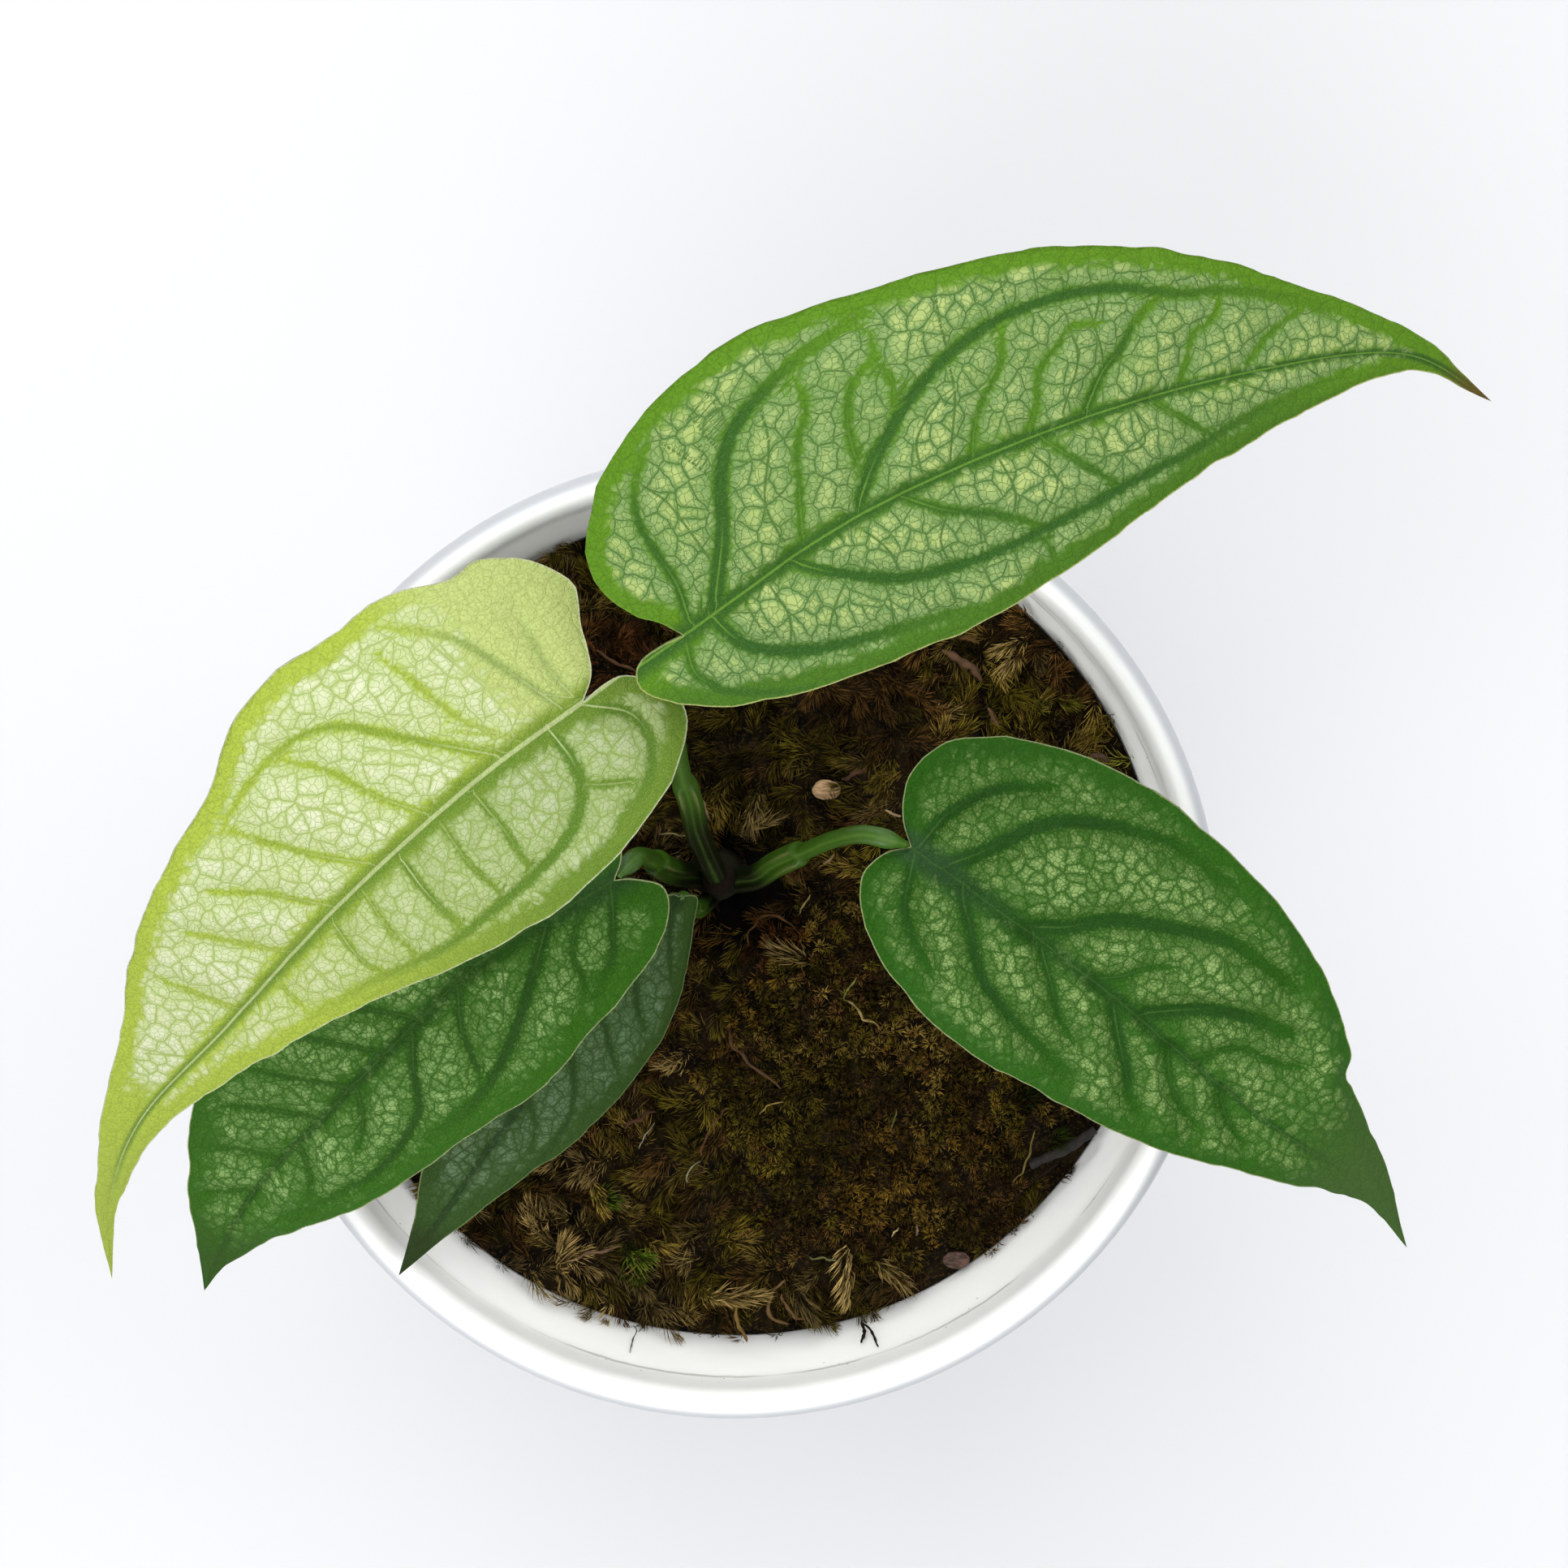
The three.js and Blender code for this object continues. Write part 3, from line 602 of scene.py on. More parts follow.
def hills(x, y, size, seed):
    """Smooth random hills from 0 to 1: random heights on a square grid of the given size, joined by
    a smooth step between its corners."""
    heights = np.random.default_rng(seed).random((64, 64))
    u, v = np.asarray(x) / size + 32, np.asarray(y) / size + 32
    i, j = np.floor(u).astype(int), np.floor(v).astype(int)
    s, t = smoothstep(u - i, 0, 1), smoothstep(v - j, 0, 1)
    corner = lambda di, dj: heights[(i + di) % 64, (j + dj) % 64]
    near = corner(0, 0) * (1 - s) + corner(1, 0) * s
    far = corner(0, 1) * (1 - s) + corner(1, 1) * s
    return near * (1 - t) + far * t


def moss_edge_top(angle):
    """Height of the moss at the wall: it climbs at the back right."""
    return MOSS_EDGE_TOP + 4 * np.maximum(0, np.cos(angle - math.radians(35))) ** 2


def moss_top(x, y):
    """Top of the felt: a low dome that meets the wall, less a pit round the stem, plus hummocks."""
    share = np.minimum(np.hypot(x, y) / wall_radius(MOSS_EDGE_TOP), 1)
    dome = MOSS_CENTRE_TOP + (moss_edge_top(np.arctan2(y, x)) - MOSS_CENTRE_TOP) * share ** 3
    pit = 5.5 * np.exp(-((x - PIT[0]) ** 2 + (y - PIT[1]) ** 2) / 7.5 ** 2)
    hummocks = np.sin(x / 2.6 + 1) * np.cos(y / 2.9) + 0.6 * np.sin((x + y) / 1.9 + 2)
    return dome - pit + 0.6 * hummocks * (1 - share ** 6)


def felt_mesh(rings=44, sides=180):
    """Rings from the stem's hole out to the wall over the top, then down the wall and back under."""
    turn = np.linspace(0, 2 * math.pi, sides, endpoint=False)
    climb = (MOSS_EDGE_TOP - STEM_FOOT[2]) / (STEM_TOP[2] - STEM_FOOT[2])
    centre = STEM_FOOT + (STEM_TOP - STEM_FOOT) * climb
    hole = STEM_RADIUS * 1.1 + 2 * MOSS_GAP
    over_top = [(k / rings, True) for k in range(rings + 1)]
    loops = []
    for share, is_top in [(0, False), *over_top, (1, False), (0, False)]:
        height = moss_edge_top(turn) if is_top else np.full(sides, MIX_TOP + MOSS_GAP)
        edge = wall_radius(height) - MOSS_GAP
        inner = hole - share * hole
        x = centre[0] + inner * np.cos(turn) + share * (edge * np.cos(turn) - centre[0])
        y = centre[1] + inner * np.sin(turn) + share * (edge * np.sin(turn) - centre[1])
        if is_top and share < 1:
            rough = 0.9 * (hills(x, y, 1.3, 1) - 0.5) + 0.5 * (hills(x, y, 0.6, 2) - 0.5)
            height = moss_top(x, y) + rough * (1 - share ** 8) - 0.3
        loops.append(np.stack([x, y, height], -1))
    return weld(np.concatenate(loops), grid_triangles(len(loops), sides, closed=True))


def felt_finish():
    """Dark brown old growth, partly painted shade of the gaps, with olive and tan threads and painted
    near-black shade round the pit.
    """
    old_growth = Finish("moss_felt", Roughness=1.0, Specular_IOR_Level=0.1)
    place = old_growth.place()
    # The felt's near-black is partly its own dark brown and partly painted shade of the gaps between the
    # shoots.
    base = blend(rise(noise(place, 0.35), 0.35, 0.65), tone(9, 6, 3), tone(32, 24, 10))
    base = blend(rise(noise(place, 2.4, 5.0), 0.5, 0.7), base, tone(60, 45, 19))
    # Painted shade: near black round the pit at the stem, where the stalks shade the moss.
    from_pit = measure("DISTANCE", place, (*PIT, MOSS_EDGE_TOP), "Value")
    base = blend(rise(from_pit, 12, 7), base, tone(7, 5, 3))
    old_growth.feed(Base_Color=base)
    old_growth.add_bump(noise(place, 2.0, 6.0), 0.8)
    return old_growth


felt = make_mesh("moss_felt", *felt_mesh())
finish_piece(felt, felt_finish(), "moss", "moss_mat")

# Patches of one tone are given as x, y, reach and tone.
MOSS_TONES = {
    "pale": tone(226, 192, 118), "tan": tone(178, 150, 88), "straw": tone(158, 132, 58),
    "gold": tone(138, 106, 36), "olive": tone(110, 96, 26), "brown": tone(114, 82, 38),
    "rust": tone(108, 66, 30), "green": tone(84, 108, 20), "lime": tone(142, 142, 46),
}
MOSS_PATCHES = [
    (47, 28, 10, "lime"), (17, 30, 7, "brown"), (31, 31, 8, "rust"), (4, 26, 10, "olive"),
    (38, 17, 9, "straw"), (3, -2, 7, "rust"), (-11, -4, 7, "brown"), (-12, -42, 5, "green"),
    (16, -46, 5, "tan"), (5, -48, 6, "rust"), (-20, -42, 7, "tan"), (-14, 34, 8, "rust"),
    (20, -30, 9, "gold"), (6, -24, 8, "olive"),
]
# A painted pool of light: near this point the shoots' tones are made up to nearly twice as bright.
SUNNY = (44, 30)
SUNNY_REACH = 15
MAT_CENTRE = (22, -18)
MAT_REACH = 27
GRID_HALF = 56
PIT_REACH = 5.3
MAT_SPACING = 1.27
BRUSH_SPACING = 2.25


def is_on_litter(x, y, gap):
    """True for places on, or nearer than the gap to, the boxes of the twig, the flake and the husk."""
    near = np.zeros(len(x), bool)
    for node in ("twig", "bark_flake", "seed_husk"):
        low, high = (np.array(corner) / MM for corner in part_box(node))
        near |= (x > low[0] - gap) & (x < high[0] + gap) & (y > low[1] - gap) & (y < high[1] + gap)
    return near


def scatter(spacing):
    """Places spread evenly over the moss out to the wall: a grid whose points are shaken. The pit
    and the litter stay clear."""
    steps = np.arange(-GRID_HALF, GRID_HALF, spacing)
    x, y = np.meshgrid(steps, steps)
    x = x + spacing / 2 * (np.arange(len(steps)) % 2)[:, None]
    x, y = (np.stack([x, y]) + rng.uniform(-0.42, 0.42, (2, *x.shape)) * spacing).reshape(2, -1)
    reach = wall_radius(moss_edge_top(np.arctan2(y, x))) - 0.5
    is_clear = (np.hypot(x, y) < reach) & (np.hypot(x - PIT[0], y - PIT[1]) > PIT_REACH)
    is_clear &= ~is_on_litter(x, y, 0.8)
    return x[is_clear], y[is_clear]


def is_in_mat(x, y):
    """True on the low mat, which fills the front right of the pot up to an uneven edge."""
    return np.hypot(x - MAT_CENTRE[0], y - MAT_CENTRE[1]) + 9 * (hills(x, y, 6, 3) - 0.5) < MAT_REACH


def keep_in_pot(points):
    """Blades bend away from the wall: whatever would pass it lies on it."""
    radius = np.hypot(points[..., 0], points[..., 1])
    allowed = wall_radius(points[..., 2]) - 0.25
    points[..., :2] *= (np.minimum(radius, allowed) / np.maximum(radius, 1e-6))[..., None]
    return points


def unit(vectors):
    """Vectors at length one."""
    return vectors / np.linalg.norm(vectors, axis=-1, keepdims=True)


def lance_blades(root, leaving, arriving, length, width, tones):
    """Thin closed blades, pointed at both ends and bent in the middle, where their section is a low
    triangle. Their colour is painted shade and light: dark at the root and under the keel, brightest at
    the tip."""
    middle = root + leaving * (0.5 * length)[..., None]
    tip = middle + arriving * (0.52 * length)[..., None]
    run = unit(tip - root)
    across = unit(np.cross(run, np.array([0, 0, 1]) + 0.5 * rng.standard_normal(run.shape)))
    keel = np.cross(run, across)
    half = (width / 2)[..., None]
    below = middle - keel * half * 0.8
    corners = np.stack([root, middle + across * half, middle - across * half, below, tip], -2)
    lance = np.array([(0, 2, 1), (0, 1, 3), (0, 3, 2), (4, 1, 2), (4, 3, 1), (4, 2, 3)])
    # Painted shade and light along each blade: dark at the root, darker under the keel, brightest at the
    # tip.
    brightness = np.array([0.08, 0.62, 0.62, 0.4, 1.35])[:, None]
    blades = repeat_mesh(keep_in_pot(corners), lance)
    return *blades, (tones[..., None, :] * brightness).reshape(-1, 3)


def pick_tones(x, y, weights):
    """A tone for each shoot: the one with the highest score. A score is the tone's weight times a
    random share and smooth hills of its own, plus a bonus in the tone's patches."""
    names = list(weights)
    score = np.stack([
        weights[name] * (0.3 + 1.2 * hills(x, y, 5, 40 + k)) * rng.random(len(x)) ** 0.5
        for k, name in enumerate(names)])
    for patch_x, patch_y, reach, name in MOSS_PATCHES:
        if name in names:
            away = np.hypot(x - patch_x, y - patch_y) / reach
            score[names.index(name)] += 0.9 * np.exp(-away ** 2)
    palette = np.array([MOSS_TONES[name][:3] for name in names])
    return palette[score.argmax(0)]


def brush_shoots(places, blades, size, blade, width, rises, bends, sweeps, weights):
    """Shoots like small brushes: a stem rises and arches over, its slope falling evenly along it.
    Its many fine blades leave it all round and bend forwards and to one side. Neighbours lean alike.
    Shoots that stand higher are painted brighter and low ones darker, as painted light and shade, so the
    gaps between them are dark."""
    x, y = places
    count = len(x)
    clump = 0.5 * hills(x, y, 4.2, 9) + 0.5 * rng.random(count)
    lean = 9 * hills(x, y, 13, 11) + rng.normal(0, 0.6, count)
    start = np.radians(rng.uniform(*rises, count))[:, None]
    bend = np.radians(rng.uniform(*bends, count))[:, None]
    length = (size * rng.uniform(0.7, 1.2, count) * (0.75 + 0.5 * clump))[:, None]
    forward = np.stack([np.cos(lean), np.sin(lean), 0 * lean], -1)[:, None]
    side = np.stack([-np.sin(lean), np.cos(lean), 0 * lean], -1)[:, None]
    upward = np.array([0, 0, 1.0])
    t = np.sort(rng.uniform(0.05, 1.0, (count, blades)), axis=1)
    slope = start - bend * t
    run = (np.sin(start) - np.sin(slope)) / bend * length
    climb = (np.cos(slope) - np.cos(start)) / bend * length
    foot = np.stack([x, y, moss_top(x, y) - 1.0 + 2.0 * clump], -1)[:, None]
    root = foot + forward * (run - 0.4 * length)[..., None] + upward * climb[..., None]
    along = forward * np.cos(slope)[..., None] + upward * np.sin(slope)[..., None]
    over = upward * np.cos(slope)[..., None] - forward * np.sin(slope)[..., None]
    around = (2.4 * np.arange(blades) + rng.normal(0, 0.5, (count, blades)))[..., None]
    outward = side * np.cos(around) + over * np.sin(around)
    sweep = (np.radians(rng.uniform(*sweeps, (count, blades))) * (1.1 - 0.6 * t))[..., None]
    leaving = along * np.cos(sweep) + outward * np.sin(sweep)
    hand = (2 * hills(x, y, 7, 12) - 1)[:, None, None]
    arriving = unit(leaving + 0.6 * along + 0.9 * hand * side - 0.35 * upward
                    + 0.2 * rng.standard_normal(leaving.shape))
    long = blade * (0.65 + 0.5 * np.sin(math.pi * t)) * rng.uniform(0.8, 1.2, t.shape)
    # Painted light and shade: a shoot's tone is brighter the higher it stands, with some random spread.
    painted_height_light = (0.075 + 1.6 * clump ** 1.8)[:, None, None] * rng.uniform(0.75, 1.25, (count, blades, 1))
    # Painted light: the bright pool round SUNNY.
    sunny = 1 + 0.9 * np.exp(-((x - SUNNY[0]) ** 2 + (y - SUNNY[1]) ** 2) / SUNNY_REACH ** 2)
    tones = pick_tones(x, y, weights)[:, None] * painted_height_light * sunny[:, None, None]
    return lance_blades(root, leaving, arriving, long, rng.uniform(*width, t.shape), tones)


def moss_finish():
    """Dry, matt blades in the tint kept on each point, which on the shoots carries painted shade and
    light, mottled along their length.
    """
    dry = Finish("moss_blades", Roughness=0.8, Specular_IOR_Level=0.05)
    mottle = rise(noise(dry.place(), 0.9, 3.0), 0.35, 0.7, 0.0, 0.45)
    dry.feed(Base_Color=blend(mottle, dry.read("tint", "Color"), tone(30, 22, 9)))
    return dry


moss_blades = moss_finish()
low_x, low_y = scatter(MAT_SPACING)
is_low = is_in_mat(low_x, low_y)
tall_x, tall_y = scatter(BRUSH_SPACING)
is_tall = ~is_in_mat(tall_x, tall_y)
tall_x, tall_y = tall_x[is_tall], tall_y[is_tall]
greenness = hills(tall_x, tall_y, 9, 31) + 0.004 * tall_x
is_green = greenness > np.median(greenness)
TAN_PLUMES = np.array([
    (2.6, 15.6), (2, 13.5), (7.5, -3), (16.5, -45.5), (14, -43.5), (19.5, -44), (-1, -47), (8, -47),
    (-22, -42)])
GREEN_TUFTS = np.array([(-12, -42), (-13.5, -44), (-16, -34), (41, -27), (37, -22)])
MOSS_KINDS = [
    {"name": "moss_plumes_tan", "places": TAN_PLUMES.T, "blades": 70, "size": 7.5, "blade": 3.2,
     "width": (0.16, 0.28), "rises": (50, 70), "bends": (40, 90), "sweeps": (20, 50),
     "weights": {"pale": 1.0, "tan": 0.6}},
    {"name": "moss_tufts_green", "places": GREEN_TUFTS.T, "blades": 60, "size": 3.6, "blade": 2.6,
     "width": (0.14, 0.22), "rises": (60, 90), "bends": (30, 70), "sweeps": (30, 70),
     "weights": {"green": 1.0, "lime": 0.4}},
    {"name": "moss_mat_shoots", "places": (low_x[is_low], low_y[is_low]), "blades": 25, "size": 1.5,
     "blade": 1.25, "width": (0.1, 0.17), "rises": (60, 110), "bends": (10, 50), "sweeps": (40, 80),
     "weights": {"gold": 0.8, "straw": 0.9, "olive": 1.0, "brown": 0.9, "green": 0.2, "rust": 0.1}},
    {"name": "moss_brushes_tan", "places": (tall_x[~is_green], tall_y[~is_green]), "blades": 47,
     "size": 4.2, "blade": 2.3, "width": (0.09, 0.16), "rises": (40, 80), "bends": (50, 115),
     "sweeps": (25, 60),
     "weights": {"tan": 0.85, "straw": 0.85, "brown": 0.9, "rust": 0.35, "olive": 0.8}},
    {"name": "moss_brushes_green", "places": (tall_x[is_green], tall_y[is_green]), "blades": 47,
     "size": 4.0, "blade": 2.2, "width": (0.09, 0.16), "rises": (40, 80), "bends": (50, 115),
     "sweeps": (25, 60),
     "weights": {"olive": 1.0, "green": 0.3, "straw": 0.8, "tan": 0.4, "lime": 0.3, "brown": 0.75}},
]
for kind in MOSS_KINDS:
    points, triangles, tints = brush_shoots(**{key: kind[key] for key in kind if key != "name"})
    shoots = make_mesh(kind["name"], points, triangles)
    set_values(shoots, "tint", np.hstack([tints.clip(0, 1), np.ones((len(tints), 1))]))
    finish_piece(shoots, moss_blades, "moss")

# Loose bits on the moss: dead rootlets, threads, splinters, curled fronds and thin dry leaves. They
# lie on the shoots, or on the pot's wall where they hang over the edge of the moss.
ON_MAT = 1.3
ON_BRUSHES = 2.9
# Each bit has a width, a flatness that is its thickness over its width, a tone and a line.
LOOSE_BITS = [
    (0.8, 0.35, (122, 100, 70), [(-4.3, 17.8), (-3.9, 16.2), (-3.1, 14.3)]),
    (0.45, 0.8, (120, 110, 72), [(-9.2, 12.7), (-7.3, 12.4), (-5.4, 12.6)]),
    (0.45, 0.5, (121, 110, 66), [(8, 1.9), (8.6, 3.4), (9.2, 4.6)]),
    (0.6, 0.8, (76, 54, 31), [(1.7, -1.3), (2.1, 0.9), (4, 2), (7.1, 1.1), (8, -0.1)]),
    (0.5, 0.8, (108, 112, 50), [(15.3, -5.5), (14.2, -7.6), (14.2, -8.9)]),
    (0.6, 0.8, (148, 128, 80), [(14.3, -8.8), (16.2, -10.8), (18, -12.1)]),
    (0.75, 0.9, (78, 56, 38), [(-0.7, -11.6), (-0.1, -14), (2.8, -17.1), (6, -20.1)]),
    (0.6, 0.5, (143, 121, 89), [(18.9, 15.6), (20.9, 14.7)]),
    (0.7, 0.5, (115, 93, 66), [(11.2, 8.8), (12.4, 10.3)]),
    (0.75, 0.9, (78, 56, 37), [(-17.5, 35.6), (-15, 34), (-11.9, 33.1)]),
    (0.9, 0.8, (64, 42, 30), [(-14, -25.1), (-11.8, -23.4), (-10.2, -22.7)]),
    (0.3, 0.9, (120, 118, 97), [(-10.2, -24), (-12.2, -26.7), (-12.4, -27.5)]),
    (0.55, 0.8, (77, 55, 31), [(-0.5, -22.2), (-3, -24.3), (-4.5, -28.3)]),
    (0.35, 0.9, (120, 116, 95), [(-4.6, -29), (-6.4, -30.9), (-6, -31.9)]),
    (0.4, 0.8, (124, 102, 54), [(3.4, -23.7), (4.3, -22.1), (6.2, -21.6)]),
    (0.4, 0.8, (86, 86, 43), [(20.1, -22.7), (20.2, -24.2), (20.1, -25.9)]),
    (0.5, 0.8, (99, 99, 61), [(9.8, -41.8), (11.6, -42.1), (13.3, -42.2)]),
    (0.45, 0.5, (164, 145, 102), [(19.6, -39.5), (20.8, -38.1)]),
    (0.55, 0.6, (120, 98, 80), [(23, -39.8), (22.9, -38.1)]),
    (0.5, 0.8, (102, 89, 47), [(35.6, -32.6), (37.4, -29.4), (38.1, -25.8)]),
    (0.7, 0.9, (24, 16, 10), [(34, -36.3), (39.7, -31), (44.8, -26.8)]),
    (0.7, 0.9, (96, 74, 57), [(-21.4, -42.3), (-18, -40.9), (-14.2, -40.8)]),
    (0.9, 0.6, (94, 72, 44), [(6.1, -44.9), (4.1, -48.1), (5.2, -50.4), (7, -50.8)]),
    (0.8, 0.6, (89, 67, 43), [(6.1, -46.8), (7, -49.4), (9.4, -50.2)]),
    (0.9, 0.4, (111, 89, 47), [(0.1, -48.4), (0.6, -51.2), (1.2, -53.6)]),
    (0.8, 0.8, (28, 20, 14), [(16.3, -50.5), (16.2, -52.7)]),
    (0.6, 0.8, (28, 20, 14), [(16.3, -50.6), (18.1, -52.5)]),
    (0.3, 0.9, (76, 86, 53), [(-13, -50.9), (-13.1, -52.4), (-13.2, -54)]),
    (1.9, 0.16, (86, 65, 47), [(26.3, 35.5), (28.9, 34.1), (31.2, 32.1)]),
    (1.1, 0.3, (86, 64, 34), [(28.4, 37.4), (30.5, 36.6)]),
    (1.1, 0.3, (86, 64, 44), [(31.7, 28.3), (33.3, 26.6)]),
    (1.1, 0.4, (83, 64, 53), [(44.9, 22.7), (47.5, 21.8)]),
    (1.0, 0.4, (71, 49, 36), [(13.6, 19.4), (15.2, 20.6), (16.4, 20.8)]),
]


def wall_height(radius):
    """Height at which the pot's wall has an inside radius."""
    radii, heights = zip(FLOOR_EDGE, WALL_BEND, CREASE)
    return np.interp(radius, radii, heights)


def loose_bit(width, flatness, line, steps=22, sides=8):
    """A closed strip with an oval section, thinner than it is wide and pointed at both ends. It
    wanders a little off its line and arches over what it lies on."""
    x, y = resample(spline(line, 8), np.linspace(0, 1, 9)).T
    x, y = x + 0.9 * (hills(x, y, 1.1, 51) - 0.5), y + 0.9 * (hills(x, y, 1.1, 52) - 0.5)
    lift = np.where(is_in_mat(x, y), ON_MAT, ON_BRUSHES)
    arch = 0.5 * np.sin(np.linspace(0, math.pi, len(x)))
    z = np.maximum(moss_top(x, y) + lift + arch, wall_height(np.hypot(x, y) + width))

    def radius_at(share, turn):
        oval = np.sqrt((np.cos(turn) / flatness) ** 2 + np.sin(turn) ** 2)
        ends = 0.3 + 0.7 * np.sin(math.pi * share) ** 0.5
        return 0.28 * width * ends * (1 + 0.2 * np.sin(23 * share + 3 * x[0])) / oval

    points, triangles = tube(np.stack([x, y, z], -1), radius_at, steps, sides)[:2]
    return keep_in_pot(points), triangles


strips = [loose_bit(width, flatness, line) for width, flatness, _, line in LOOSE_BITS]
loose = make_mesh("moss_loose_bits", *join_meshes(strips))
bit_tones = np.array([tone(*bit_tone) for _, _, bit_tone, _ in LOOSE_BITS])
set_values(loose, "tint", np.repeat(bit_tones, [len(points) for points, _ in strips], axis=0))
finish_piece(loose, moss_blades, "moss")

# The five leaves: thin living blades, each on a midrib that arches out from its stalk. Side veins
# leave the midrib and run on along the margin. They lie in grooves, and the skin between them is
# quilted and, away from the veins, silver.
LOBE_ROWS = 44
BODY_ROWS = 112
BLADE_COLUMNS = 38
VEIN_SLANT = 1.25
SKIN = 0.24
SKIN_SHARE = 0.5
KEEL = 1.1
WIDE_VEIN = 0.65
# The grey of a painted sheen, a painted reflection on the skin at the stalk joint.
JOINT_SHEEN_TONE = (72, 102, 74)
# On the flattened blade, x runs along the midrib from the stalk joint and y to the left of it, seen
# from the joint. "left" and "right" are the margin on each side, and a vein is a width and a line.
# The blade rises from its midrib by "fold", sinks again by "curl" and rolls about it by "roll".
# The silver area starts "margin" inside the margin and off the "rib_band", and ends at "plain_from"
# towards the tip and at "plain_lobe" on the right lobe. "fade" is the reach over which it sets in,
# "mottle" how patchy it is, and "islands" how far the net cuts it up. "net" has the scales of the
# wide and of the fine net, and "net_green" takes its colour from the deep tone to the green one.
# "band" is how dark the vein bands are, and "joint" how strong the painted grey sheen, a painted
# reflection, is on the skin at the stalk. The shades darken the left or right half, as painted shade.
# "tip_at" is where the tip's own tone sets in.
PLAIN_BLADE = {
    "joint": 0.0, "left_shade": 0.0, "right_shade": 0.0, "left_panel": 1.0, "right_strength": 1.0,
    "plain_lobe": -9,
}
